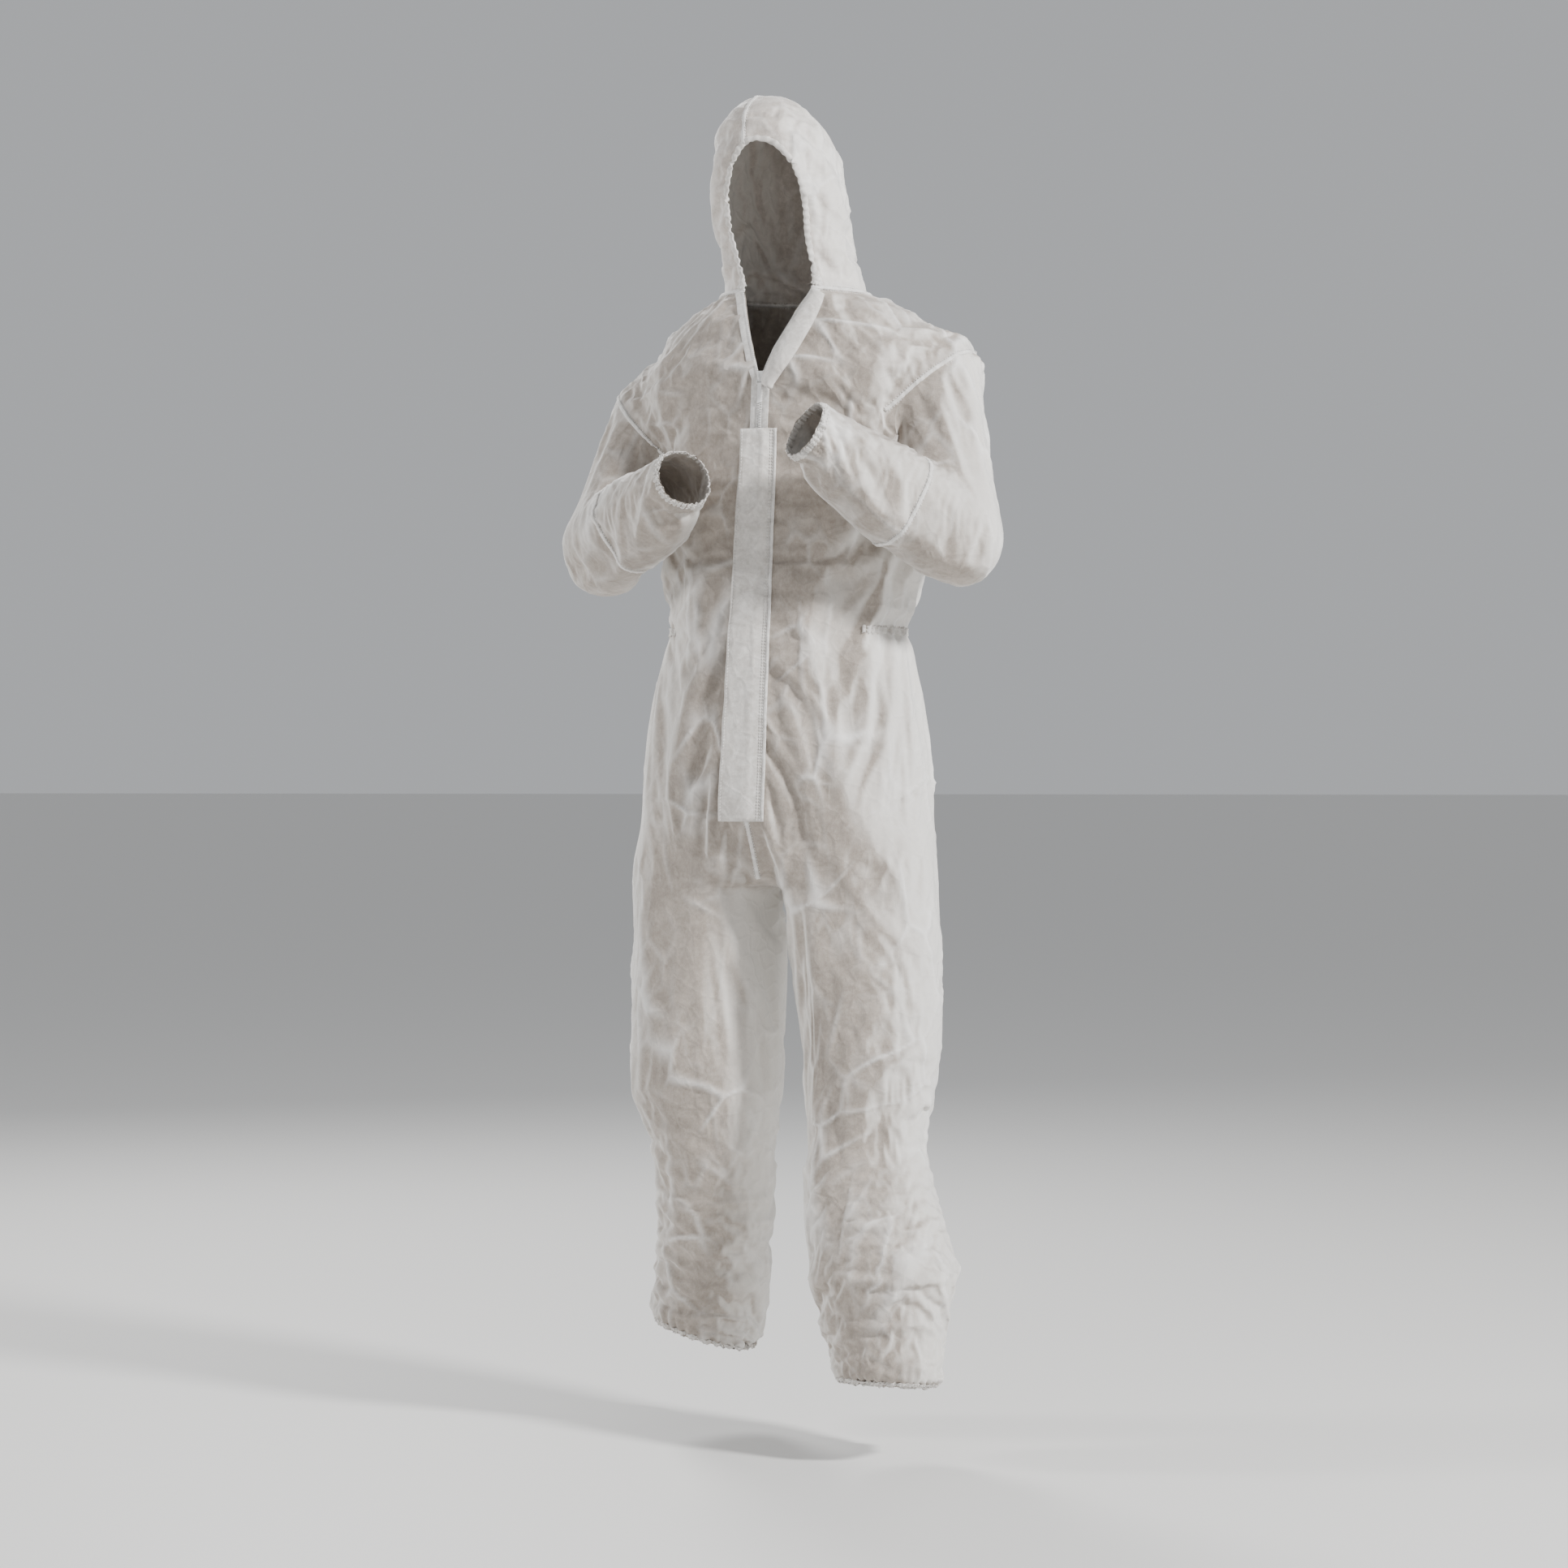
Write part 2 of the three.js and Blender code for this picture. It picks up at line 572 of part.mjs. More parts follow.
add("zip_pull", "nylon", pull);

// ---------------------------------------------------------------- storm flap
/** The strip of the front between two distances to the left of the zip's line, over some heights. */
function strip(from, to, low, high) {
  const shape = new THREE.Shape([
    new THREE.Vector2(onZip(low).x + from, low),
    new THREE.Vector2(onZip(low).x + to, low),
    new THREE.Vector2(onZip(high).x + to, high),
    new THREE.Vector2(onZip(high).x + from, high),
  ]);
  return through(shape, frontFar, frontNear);
}
const flapFoot = 860;
const flapHead = 1393;
const flapOut = 7; // over the slider and its pull
const flapThick = 1.6;
const flapStitch = 20; // the stitched edge, to the left of the zip
const flapEdge = -40; // the free edge
const flapTurn = 2; // the width of the fold beside the stitches
add(
  "storm_flap",
  "spunbond",
  layer(trunkSkin, flapOut, flapOut + flapThick).intersect(strip(flapEdge, flapStitch - flapTurn, flapFoot, flapHead)),
);
add(
  "storm_flap_fold",
  "spunbond",
  layer(trunkSkin, under + seamHeight + gap, flapOut + flapThick).intersect(
    strip(flapStitch - flapTurn + gap, flapStitch, flapFoot, flapHead),
  ),
);
const flapSeam = strip(flapStitch - 3, flapStitch + 2, flapFoot, flapHead);
add("storm_flap_seam", "seam", trunkRidge.intersect(flapSeam));
export default suit;
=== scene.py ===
"""The looks of a disposable hooded coverall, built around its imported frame.

One smooth skin is wrapped round the frame's panels, left to buckle as cloth, then cut into sleeves,
legs, trunk and hood along the lines where the suit bends. Metres, +Z up, front towards -Y, the
wearer's left is +X.
"""

import json
import math

import bmesh
import bpy
import numpy as np
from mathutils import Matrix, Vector, noise
from mathutils.bvhtree import BVHTree
from mathutils.kdtree import KDTree

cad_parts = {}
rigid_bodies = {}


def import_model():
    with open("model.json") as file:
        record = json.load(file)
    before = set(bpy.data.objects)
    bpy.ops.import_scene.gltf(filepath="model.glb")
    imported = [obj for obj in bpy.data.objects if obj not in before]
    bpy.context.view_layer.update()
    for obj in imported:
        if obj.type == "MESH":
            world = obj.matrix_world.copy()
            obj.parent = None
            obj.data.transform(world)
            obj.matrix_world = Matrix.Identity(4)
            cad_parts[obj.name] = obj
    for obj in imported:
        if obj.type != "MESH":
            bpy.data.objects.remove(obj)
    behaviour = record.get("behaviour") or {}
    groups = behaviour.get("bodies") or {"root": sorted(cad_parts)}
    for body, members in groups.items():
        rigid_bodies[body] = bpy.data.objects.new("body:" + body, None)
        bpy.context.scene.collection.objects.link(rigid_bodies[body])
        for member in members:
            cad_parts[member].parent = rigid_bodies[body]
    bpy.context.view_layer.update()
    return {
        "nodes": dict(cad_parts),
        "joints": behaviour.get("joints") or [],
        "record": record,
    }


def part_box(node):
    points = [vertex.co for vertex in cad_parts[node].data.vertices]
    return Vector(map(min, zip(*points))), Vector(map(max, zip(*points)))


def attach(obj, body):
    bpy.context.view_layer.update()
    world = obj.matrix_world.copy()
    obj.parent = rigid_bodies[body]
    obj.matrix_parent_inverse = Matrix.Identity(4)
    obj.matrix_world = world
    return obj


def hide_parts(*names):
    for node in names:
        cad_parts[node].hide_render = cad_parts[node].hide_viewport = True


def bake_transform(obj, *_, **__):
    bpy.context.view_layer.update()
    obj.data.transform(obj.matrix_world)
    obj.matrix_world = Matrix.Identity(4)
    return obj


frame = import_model()

VOXEL = 0.0068  # the skin's grid before it is subdivided
SPARE = 0.055  # how much longer the cloth is than the shape it hangs on
WEARER_GAP = 0.011  # between the cloth's shape and the body it buckles over
FRAMES = 24  # how long it buckles
BODY_MOST = 0.02  # the farthest a point of the body may move as it buckles
SLEEVE_MOST = 0.018
FRONT = -0.03  # the face and throat open forward of this
BRIEF_SLOPE = 0.61  # how steeply the line between trunk and legs climbs from the crotch
RIM_REACH = 0.036  # the rim of an armhole's hole lies this far past its seam's plane, or less
HOLE_FLAT = 0.035  # a sleeve's top is drawn to the rim within this distance of the plane
SLEEVE_DRAWN = 0.06  # the cloth within this distance of an armhole's edge moves with it
TRUNK_DRAWN = 0.045
SEAM_SIDE = 0.12  # points nearer the middle than this are on no armhole
FORWARD = np.array([0.0, -1.0, 0.0])
SIDES = {"left": 1, "right": -1}
JOINTS = {joint["name"]: joint for joint in frame["joints"]}


def joint_place(name):
    return Vector(JOINTS[name]["pos_m"])


def box(node):
    low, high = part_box(node)
    return Vector(low), Vector(high)


def middle(node):
    low, high = box(node)
    return (low + high) / 2


def named(side, *parts):
    """The names of a side's nodes."""
    return [f"{side}_{part}" for part in parts]


def placed(name, data):
    """A new object in the scene."""
    made = bpy.data.objects.new(name, data)
    bpy.context.scene.collection.objects.link(made)
    return made


def apply_modifiers(made, *names):
    bpy.context.view_layer.objects.active = made
    for name in names:
        bpy.ops.object.modifier_apply(modifier=name)


def unit(vectors):
    """Vectors, one in each row, made one long."""
    return vectors / np.linalg.norm(vectors, axis=1)[:, None]


# ------------------------------------------------------------------ reading meshes
def points_of(mesh):
    places = np.empty(len(mesh.vertices) * 3)
    mesh.vertices.foreach_get("co", places)
    return places.reshape(-1, 3)


def normals_of(mesh):
    normals = np.empty(len(mesh.vertices) * 3)
    mesh.vertices.foreach_get("normal", normals)
    return normals.reshape(-1, 3)


def set_points(mesh, places):
    mesh.vertices.foreach_set("co", places.astype(np.float32).ravel())
    mesh.update()


def faces_of(mesh):
    """A mesh of quads and triangles as a list of corner lists."""
    return [list(face.vertices) for face in mesh.polygons]


def tree_of(places):
    tree = KDTree(len(places))
    for index, place in enumerate(places):
        tree.insert(place, index)
    tree.balance()
    return tree


def edges_of(meshes):
    """Every edge of some meshes, as two arrays of end points."""
    starts = []
    ends = []
    for mesh in meshes:
        places = points_of(mesh)
        pairs = np.empty(len(mesh.edges) * 2, dtype=np.int64)
        mesh.edges.foreach_get("vertices", pairs)
        pairs = pairs.reshape(-1, 2)
        starts.append(places[pairs[:, 0]])
        ends.append(places[pairs[:, 1]])
    return np.concatenate(starts), np.concatenate(ends)


def node_edges(names):
    return edges_of([frame["nodes"][name].data for name in names])


def open_edges(mesh):
    """The edges that only one face has, as pairs of point numbers."""
    counts = {}
    for face in mesh.polygons:
        for key in face.edge_keys:
            counts[key] = counts.get(key, 0) + 1
    return [key for key, count in counts.items() if count == 1]


def slice_points(edges, origin, normal):
    """Where a plane meets the edges."""
    starts, ends = edges
    a = (starts - origin) @ normal
    b = (ends - origin) @ normal
    crossing = a * b < 0
    share = (a[crossing] / (a[crossing] - b[crossing]))[:, None]
    return starts[crossing] * (1 - share) + ends[crossing] * share


def hull_radii(points, centre):
    """How far the convex outline of flat points reaches from centre, at each of TURNS."""
    ways = np.stack([np.cos(TURNS), np.sin(TURNS)], axis=1)
    reach = ((points - centre) @ ways.T).max(axis=0)
    radii = np.full(RING, np.inf)
    for support, way in zip(reach, ways):
        facing = ways @ way
        ahead = facing > 0.02
        radii[ahead] = np.minimum(radii[ahead], support / facing[ahead])
    return radii


# ------------------------------------------------------------------ the closed shape
RING = 48
TURNS = np.arange(RING) * 2 * np.pi / RING
RING_GAP = 0.012  # between the rings along a sleeve
ARM_REACH = 0.1  # farther than this from an arm's axis is another part's cloth
FORE_REACH = 0.075
ELBOW_RADIUS = 0.061
STUB_RINGS = 13  # the shoulders run on past the armhole seams by some rings, and are cut back
UP = np.array([0.0, 0.0, 1.0])


def tube(name, rings):
    """A closed mesh over a list of rings, each an array of RING points."""
    bm = bmesh.new()
    rows = [[bm.verts.new(point) for point in ring] for ring in rings]
    for low, high in zip(rows, rows[1:]):
        for i in range(RING):
            j = (i + 1) % RING
            bm.faces.new((low[i], low[j], high[j], high[i]))
    bm.faces.new(list(reversed(rows[0])))
    bm.faces.new(rows[-1])
    bmesh.ops.recalc_face_normals(bm, faces=bm.faces)
    mesh = bpy.data.meshes.new(name)
    bm.to_mesh(mesh)
    bm.free()
    return placed(name, mesh)


def upright_rings(names, low, high, step):
    """Level rings round some nodes, from low to high."""
    edges = node_edges(names)
    rings = []
    for height in np.arange(low, high, step):
        points = slice_points(edges, UP * height, UP)
        if len(points) < 8:
            continue
        flat = points[:, :2]
        centre = (flat.min(axis=0) + flat.max(axis=0)) / 2
        radii = hull_radii(flat, centre)
        across = centre[0] + radii * np.cos(TURNS)
        back = centre[1] + radii * np.sin(TURNS)
        rings.append(np.stack([across, back, np.full(RING, height)], axis=1))
    return rings


def limb_radii(names, start, end, reach):
    """Distances along a sleeve, and the radius that its nodes have at each."""
    edges = node_edges(names)
    way = (end - start).normalized()
    alongs = []
    radii = []
    for along in np.arange(0, (end - start).length, RING_GAP):
        centre = np.array(start + way * along)
        points = slice_points(edges, centre, np.array(way))
        away = np.linalg.norm(points - centre, axis=1) if len(points) else np.array([])
        away = away[away < reach]
        if len(away) > 6:
            alongs.append(along)
            radii.append(float(np.percentile(away, 80)))
    return alongs, radii


def limb_rings(names, start, end, reach):
    """Round rings along a sleeve."""
    way = (end - start).normalized()
    side = way.orthogonal().normalized()
    other = way.cross(side)
    circle = np.outer(np.cos(TURNS), np.array(side)) + np.outer(np.sin(TURNS), np.array(other))
    rings = []
    for along, radius in zip(*limb_radii(names, start, end, reach)):
        rings.append(np.array(start + way * along) + circle * radius)
    return rings


PANELS = [f"{side}_{part}" for side in SIDES for part in ("front_panel", "back_panel")]
TRUNK_NODES = PANELS + [f"{side}_hip_fold" for side in SIDES]
UPPER_PARTS = ("shoulder_fold", "upper_sleeve")
LEG_PARTS = ("hip_fold", "thigh_panel", "knee_fold", "shin_panel")
HOOD_NODES = ["hood_neck_fold", "left_hood_panel", "right_hood_panel"]
crotch = box("left_front_panel")[0].z
collar = box("left_front_panel")[1].z


def remeshed(name, parts):
    """Some closed parts, made into one smooth closed mesh."""
    bpy.ops.object.select_all(action="DESELECT")
    for part in parts:
        part.select_set(True)
    bpy.context.view_layer.objects.active = parts[0]
    if len(parts) > 1:
        bpy.ops.object.join()
    made = bpy.context.object
    made.name = name
    remesh = made.modifiers.new("remesh", "REMESH")
    remesh.mode = "VOXEL"
    remesh.voxel_size = VOXEL
    smooth = made.modifiers.new("smooth", "SMOOTH")
    smooth.iterations = 7
    smooth.factor = 0.5
    apply_modifiers(made, "remesh", "smooth")
    return made


def body_shape():
    """Trunk, hood and legs. The shoulders run out to the armhole seams."""
    trunk = upright_rings(TRUNK_NODES, crotch + 0.006, collar, 0.012)
    hood_top = box("left_hood_panel")[1].z
    head = upright_rings(HOOD_NODES, collar + 0.004, hood_top, 0.009)
    parts = [tube("trunk_shape", trunk), tube("hood_shape", [trunk[-1] - UP * 0.03] + head)]
    for side in SIDES:
        shoulder, elbow, _ = sleeve_frame(side)
        rings = limb_rings(named(side, *UPPER_PARTS), shoulder, elbow, ARM_REACH)
        parts.append(tube(f"{side}_stub_shape", rings[:STUB_RINGS]))
        names = named(side, *LEG_PARTS)
        foot = box(f"{side}_ankle_elastic")[0].z - 0.012
        leg = upright_rings(names, foot, crotch - 0.002, 0.014)
        leg.insert(0, leg[0] - UP * 0.012)
        leg.append(leg[-1] + UP * 0.05)
        parts.append(tube(f"{side}_leg_shape", leg))
    return remeshed("body", parts)


def sleeve_shape(side):
    """A sleeve from inside the shoulder to a little past the wrist."""
    shoulder, elbow, wrist = sleeve_frame(side)
    upper = named(side, *UPPER_PARTS, "elbow_fold")
    fore_rings = limb_rings(named(side, "elbow_fold", "lower_sleeve"), elbow, wrist, FORE_REACH)
    fore_rings.append(fore_rings[-1] + np.array((wrist - elbow).normalized()) * 0.04)
    parts = [
        tube(f"{side}_upper_shape", limb_rings(upper, shoulder, elbow, ARM_REACH)),
        tube(f"{side}_fore_shape", fore_rings),
    ]
    bpy.ops.mesh.primitive_uv_sphere_add(segments=32, ring_count=20, radius=ELBOW_RADIUS, location=elbow)
    parts.append(bpy.context.object)
    return remeshed(f"{side}_sleeve", parts)


# ------------------------------------------------------------------ lines on the skin
def opening_outline():
    """The edge of the open throat and face, seen from the front, as points in X and Z."""
    fork = middle("zip_slider")
    left = box("left_zip_tape")[1]
    right = box("right_zip_tape")[0]
    low, high = box("hood_face_elastic")
    edge = 0.009
    top = high.z - edge
    mid_x = (low.x + high.x) / 2
    half = (high.x - low.x) / 2 - edge
    spring = low.z + 0.03
    throat = collar + 0.005
    outline = [(fork.x, fork.z), (left.x - 0.012, throat)]
    outline += [(mid_x + half * 0.98, low.z)]
    for i in range(25):
        turn = math.pi * i / 24
        outline.append((mid_x + half * math.cos(turn), spring + (top - spring) * math.sin(turn)))
    outline += [(mid_x - half * 0.98, low.z), (right.x + 0.012, throat)]
    return np.array(outline)


def outline_depth(flat, outline):
    """How deep flat points are inside an outline: positive inside, negative outside."""
    best = np.full(len(flat), np.inf)
    inside = np.zeros(len(flat), dtype=bool)
    for a, b in zip(outline, np.roll(outline, -1, axis=0)):
        way = b - a
        share = np.clip(((flat - a) @ way) / (way @ way), 0, 1)
        best = np.minimum(best, np.linalg.norm(flat - (a + share[:, None] * way), axis=1))
        span = (a[1] > flat[:, 1]) != (b[1] > flat[:, 1])
        rise = b[1] - a[1] if b[1] != a[1] else 1e-9
        cross_x = a[0] + (flat[:, 1] - a[1]) * (b[0] - a[0]) / rise
        inside ^= span & (flat[:, 0] < cross_x)
    return np.where(inside, best, -best)


OUTLINE = opening_outline()


def opening_field(places):
    """Positive in the open throat and face, and negative on cloth."""
    depth = outline_depth(places[:, [0, 2]], OUTLINE)
    return np.where(places[:, 1] < FRONT, depth, -1.0)


def sleeve_frame(side):
    shoulder = joint_place(f"{side}_shoulder")
    elbow = joint_place(f"{side}_elbow")
    wrist = middle(f"{side}_cuff_elastic")
    return shoulder, elbow, wrist


def axis_distance(places, start, end):
    start = np.array(start)
    way = np.array(end) - start
    share = np.clip(((places - start) @ way) / (way @ way), 0, 1)
    return np.linalg.norm(places - start - share[:, None] * way, axis=1)


# ------------------------------------------------------------------ cloth
def mount(name):
    found = next(m for m in frame["record"]["mounts"] if m["name"] == name)
    return np.array(found["pos_m"]), np.array(found["axis"])


ARMHOLE_SLOPE = math.radians(46)
# how far from each of these the cloth is held
BY_WAIST = 0.010
BY_COLLAR = 0.012
BY_OPENING = 0.010
BY_FLAP = 0.03
BY_CROWN = 0.03
BY_HEM = 0.014
BY_ARMHOLE = 0.014
BY_CUFF = 0.016
WAIST_BACK = -0.06  # the waist's elastic lies behind this


def armhole(side):
    """A point on the armhole seam's plane, and the way out of the trunk."""
    out = np.array([SIDES[side] * math.cos(ARMHOLE_SLOPE), 0, -math.sin(ARMHOLE_SLOPE)])
    return np.array(middle(f"{side}_armhole_seam")), out


def hold_body(places):
    """How firmly each point of the body is held: by its elastics, collar, zip, flap and armholes."""
    held = np.zeros(len(places))

    def near(distance, width):
        np.maximum(held, hump(distance, width), out=held)

    above_waist = places[:, 2] - middle("waist_elastic").z
    near(np.where(places[:, 1] > WAIST_BACK, above_waist, 1), BY_WAIST)
    near(places[:, 2] - collar, BY_COLLAR)
    near(opening_field(places), BY_OPENING)
    low, high = box("storm_flap")
    in_flap = (places[:, 2] > low.z) & (places[:, 2] < high.z + 0.08) & (places[:, 1] < -0.05)
    near(np.where(in_flap, places[:, 0] - (low.x + high.x) / 2, 1), BY_FLAP)
    near(box("left_hood_panel")[1].z - places[:, 2], BY_CROWN)
    for side, sign in SIDES.items():
        pos, axis = mount(f"{side}_hem")
        own = places[:, 0] * sign > 0
        near(np.where(own, np.minimum((pos - places) @ axis, 1), 1) - 0.006, BY_HEM)
        origin, out = armhole(side)
        shoulder, elbow, _ = sleeve_frame(side)
        about = axis_distance(places, shoulder, elbow) < 0.095
        near(np.where(about, (places - origin) @ out, 1), BY_ARMHOLE)
    return np.clip(held, 0, 1)


def hold_sleeve(side):
    """The same for a sleeve, held at its armhole and its cuff."""

    def hold(places):
        origin, out = armhole(side)
        pos, axis = mount(f"{side}_cuff")
        at_hole = hump(np.maximum((places - origin) @ out, 0), BY_ARMHOLE)
        at_cuff = hump(np.maximum((pos - places) @ axis, 0), BY_CUFF)
        _, elbow, wrist = sleeve_frame(side)
        at_hole[axis_distance(places, elbow, wrist) < FORE_REACH] = 0
        return np.maximum(at_hole, at_cuff)

    return hold


def buckle(skin, hold):
    """Lets the cloth, a little too long for its shape, buckle into creases over a wearer-sized body."""
    body = skin.copy()
    body.data = skin.data.copy()
    bpy.context.scene.collection.objects.link(body)
    inward = body.modifiers.new("inward", "DISPLACE")
    inward.strength = -WEARER_GAP
    inward.mid_level = 0
    apply_modifiers(body, "inward")
    body.modifiers.new("collision", "COLLISION")
    body.collision.thickness_outer = 0.002
    body.collision.cloth_friction = 6
    pins = skin.vertex_groups.new(name="held")
    for index, weight in enumerate(hold(points_of(skin.data))):
        if weight > 0.02:
            pins.add([index], float(weight), "REPLACE")
    cloth = skin.modifiers.new("cloth", "CLOTH")
    settings = cloth.settings
    settings.quality = 4
    settings.mass = 0.06
    settings.tension_stiffness = 28
    settings.compression_stiffness = 28
    settings.shear_stiffness = 12
    settings.bending_stiffness = 0.35
    settings.air_damping = 2
    settings.shrink_min = -SPARE
    settings.vertex_group_mass = "held"
    settings.pin_stiffness = 1
    settings.effector_weights.gravity = 0.6
    cloth.collision_settings.distance_min = 0.002
    cloth.collision_settings.collision_quality = 2
    scene = bpy.context.scene
    scene.frame_start = 1
    scene.frame_end = FRAMES
    cloth.point_cache.frame_start = 1
    cloth.point_cache.frame_end = FRAMES
    for step in range(1, FRAMES + 1):
        scene.frame_set(step)
    apply_modifiers(skin, "cloth")
    bpy.data.objects.remove(body)
    scene.frame_set(1)


def cap_moves(skin, rest, most):
    """Keeps every point within a distance of where it started."""
    places = points_of(skin.data)
    moved = places - rest
    length = np.linalg.norm(moved, axis=1)
    share = np.minimum(1, most / np.maximum(length, 1e-9))
    set_points(skin.data, rest + moved * share[:, None])


# ------------------------------------------------------------------ cutting a skin
def snap(places, field, reach=0.55):
    """Moves the points near a field's zero onto it."""
    step = 1e-4
    value = field(places)
    slope = np.stack([(field(places + step * np.eye(3)[k]) - value) / step for k in range(3)], axis=1)
    size = np.maximum(np.linalg.norm(slope, axis=1), 0.2)[:, None]
    close = np.abs(value) < reach * VOXEL
    moved = places - slope / size**2 * value[:, None]
    return np.where(close[:, None], moved, places)


def split_at(faces, value):
    """Splits each quad that has opposite corners on a field's zero and the others each side of it."""
    done = []
    for face in faces:
        on = [abs(value[v]) < 1e-5 for v in face]
        if len(face) == 4 and (on[0] and on[2]) and value[face[1]] * value[face[3]] < 0:
            done += [[face[0], face[1], face[2]], [face[0], face[2], face[3]]]
        elif len(face) == 4 and (on[1] and on[3]) and value[face[0]] * value[face[2]] < 0:
            done += [[face[1], face[2], face[3]], [face[1], face[3], face[0]]]
        else:
            done.append(face)
    return done


def rebuild(made, places, faces):
    mesh = bpy.data.meshes.new(made.name)
    mesh.from_pydata([tuple(point) for point in places], [], faces)
    mesh.update()
    old = made.data
    made.data = mesh
    bpy.data.meshes.remove(old)


def cut_along(made, fields, label):
    """Cuts a skin along fields. label names each face's piece from its middle, with "" to drop it."""
    places = points_of(made.data)
    faces = faces_of(made.data)
    for field in fields:
        places = snap(places, field)
        faces = split_at(faces, field(places))
    centres = np.array([places[face].mean(axis=0) for face in faces])
    names = label(centres)
    kept = [face for face, name in zip(faces, names) if name]
    rebuild(made, places, kept)
    bm = bmesh.new()
    bm.from_mesh(made.data)
    loose = [v for v in bm.verts if not v.link_faces]
    bmesh.ops.delete(bm, geom=loose, context="VERTS")
    bm.to_mesh(made.data)
    bm.free()
    ordered = [name for name in names if name]
    numbers = {name: i for i, name in enumerate(sorted(set(ordered)))}
    mark = made.data.attributes.new("piece", "INT", "FACE")
    mark.data.foreach_set("value", [numbers[name] for name in ordered])
    return {i: name for name, i in numbers.items()}


def leg_cut(side):
    low, high = box(f"{side}_thigh_panel")
    return (low.z + high.z) / 2


def brief_height(places):
    return crotch + BRIEF_SLOPE * np.abs(places[:, 0])


def armhole_field(side):
    """Positive on the shoulder past its armhole seam."""
    origin, out = armhole(side)
    shoulder, elbow, _ = sleeve_frame(side)
    way = (elbow - shoulder).normalized()
    alongs, radii = limb_radii(named(side, *UPPER_PARTS), shoulder, elbow, ARM_REACH)

    def field(places):
        along = (places - np.array(shoulder)) @ np.array(way)
        away = np.linalg.norm(places - np.array(shoulder) - along[:, None] * np.array(way), axis=1)
        about = away < np.interp(along, alongs, radii) + 0.008
        about &= places[:, 0] * SIDES[side] > SEAM_SIDE
        return np.where(about, (places - origin) @ out, -1)

    return field


def past(place, way):
    """How far points are past a plane."""
    return lambda places: (places - place) @ way


def one_side(sign, field, other):
    """A field on one side of the suit, with a fixed value on the other."""
    return lambda places: np.where(places[:, 0] * sign > 0, field(places), other)


def body_fields():
    fields = [opening_field, lambda p: p[:, 2] - collar]
    fields += [armhole_field(side) for side in SIDES]
    fields.append(lambda p: np.where(p[:, 2] < -0.6, p[:, 2] - brief_height(p), 1))
    for side, sign in SIDES.items():
        fields.append(one_side(sign, past(*mount(f"{side}_hem")), -1))
        fields.append(one_side(sign, past(UP * leg_cut(side), UP), 1))
    return fields


def body_label(centres):
    names = np.full(len(centres), "trunk_cloth", dtype=object)
    names[centres[:, 2] > collar] = "hood_cloth"
    below = centres[:, 2] < brief_height(centres)
    for side, sign in SIDES.items():
        own = below & (centres[:, 0] * sign > 0)
        names[own] = f"{side}_leg_top"
        names[own & (centres[:, 2] < leg_cut(side))] = f"{side}_leg_end"
        pos, axis = mount(f"{side}_hem")
        names[own & ((centres - pos) @ axis > 0)] = ""
        names[armhole_field(side)(centres) > 0] = ""
    names[opening_field(centres) > 0] = ""
    return names


def sleeve_parting(side):
    """Where a sleeve's top and end pieces meet, above the elbow, and the way down the arm."""
    shoulder, elbow, _ = sleeve_frame(side)
    down = (elbow - shoulder).normalized()
    return np.array(elbow - down * 0.05), np.array(down)


def sleeve_fields(side):
    hole = past(*armhole(side))
    cuff = past(*mount(f"{side}_cuff"))
    half_way = past(*sleeve_parting(side))
    shoulder, elbow, wrist = sleeve_frame(side)
    fore = lambda p: axis_distance(p, elbow, wrist) < axis_distance(p, shoulder, elbow)
    return [
        lambda p: np.where(fore(p), 1, hole(p)),
        lambda p: np.where(fore(p), cuff(p), -1),
        lambda p: np.where(fore(p), 1, half_way(p)),
    ]


def sleeve_label(side):
    hole, cuff, half_way = sleeve_fields(side)

    def label(centres):
        names = np.full(len(centres), f"{side}_sleeve_top", dtype=object)
        names[half_way(centres) > 0] = f"{side}_sleeve_end"
        names[hole(centres) < 0] = ""
        names[cuff(centres) > 0] = ""
        return names

    return label


# ------------------------------------------------------------------ fine shape
def hump(distance, width):
    """1 at no distance, and falling smoothly to 0 over some widths."""
    return np.exp(-((distance / width) ** 2))


WAIST_GATHERS = {"count": 46, "depth": 0.0026, "reach": 0.020}
ANKLE_GATHERS = {"count": 34, "depth": 0.0030, "reach": 0.022}
CUFF_GATHERS = {"count": 24, "depth": 0.0026, "reach": 0.020}


def pleats(distance, angle, count, depth, reach):
    """Gathers beside an elastic: radial waves that die away from it."""
    wander = 1.7 * np.sin(angle * 3.1 + 1.0) + 1.1 * np.sin(angle * 7.3)
    return depth * np.exp(-np.abs(distance) / reach) * np.sin(angle * count + wander)


def fine_body(places):
    """How far each point of the body moves along its normal."""
    move, crease_white_and_highlight = creases(places)
    waist = middle("waist_elastic")
    angle = np.arctan2(places[:, 1], places[:, 0] - waist.x)
    drop = places[:, 2] - waist.z
    back = np.clip((places[:, 1] + 0.075) / 0.03, 0, 1)
    move += back * pleats(drop, angle, **WAIST_GATHERS)
    move -= back * 0.006 * hump(drop, 0.014)
    for side, sign in SIDES.items():
        pos, axis = mount(f"{side}_hem")
        band = middle(f"{side}_ankle_elastic")
        own = places[:, 0] * sign > 0
        up = np.where(own, (pos - places) @ axis, 1)
        turn = np.arctan2(places[:, 1] - band.y, places[:, 0] - band.x)
        move += pleats(up, turn, **ANKLE_GATHERS)
        move -= 0.004 * hump(up, 0.016)
    edge = opening_field(places)
    in_hood = (places[:, 1] < FRONT) & (places[:, 2] > collar)
    move += np.where(in_hood, 0.0010 * np.exp(edge / 0.012) * np.sin(places[:, 2] * 520), 0)
    return move, crease_white_and_highlight


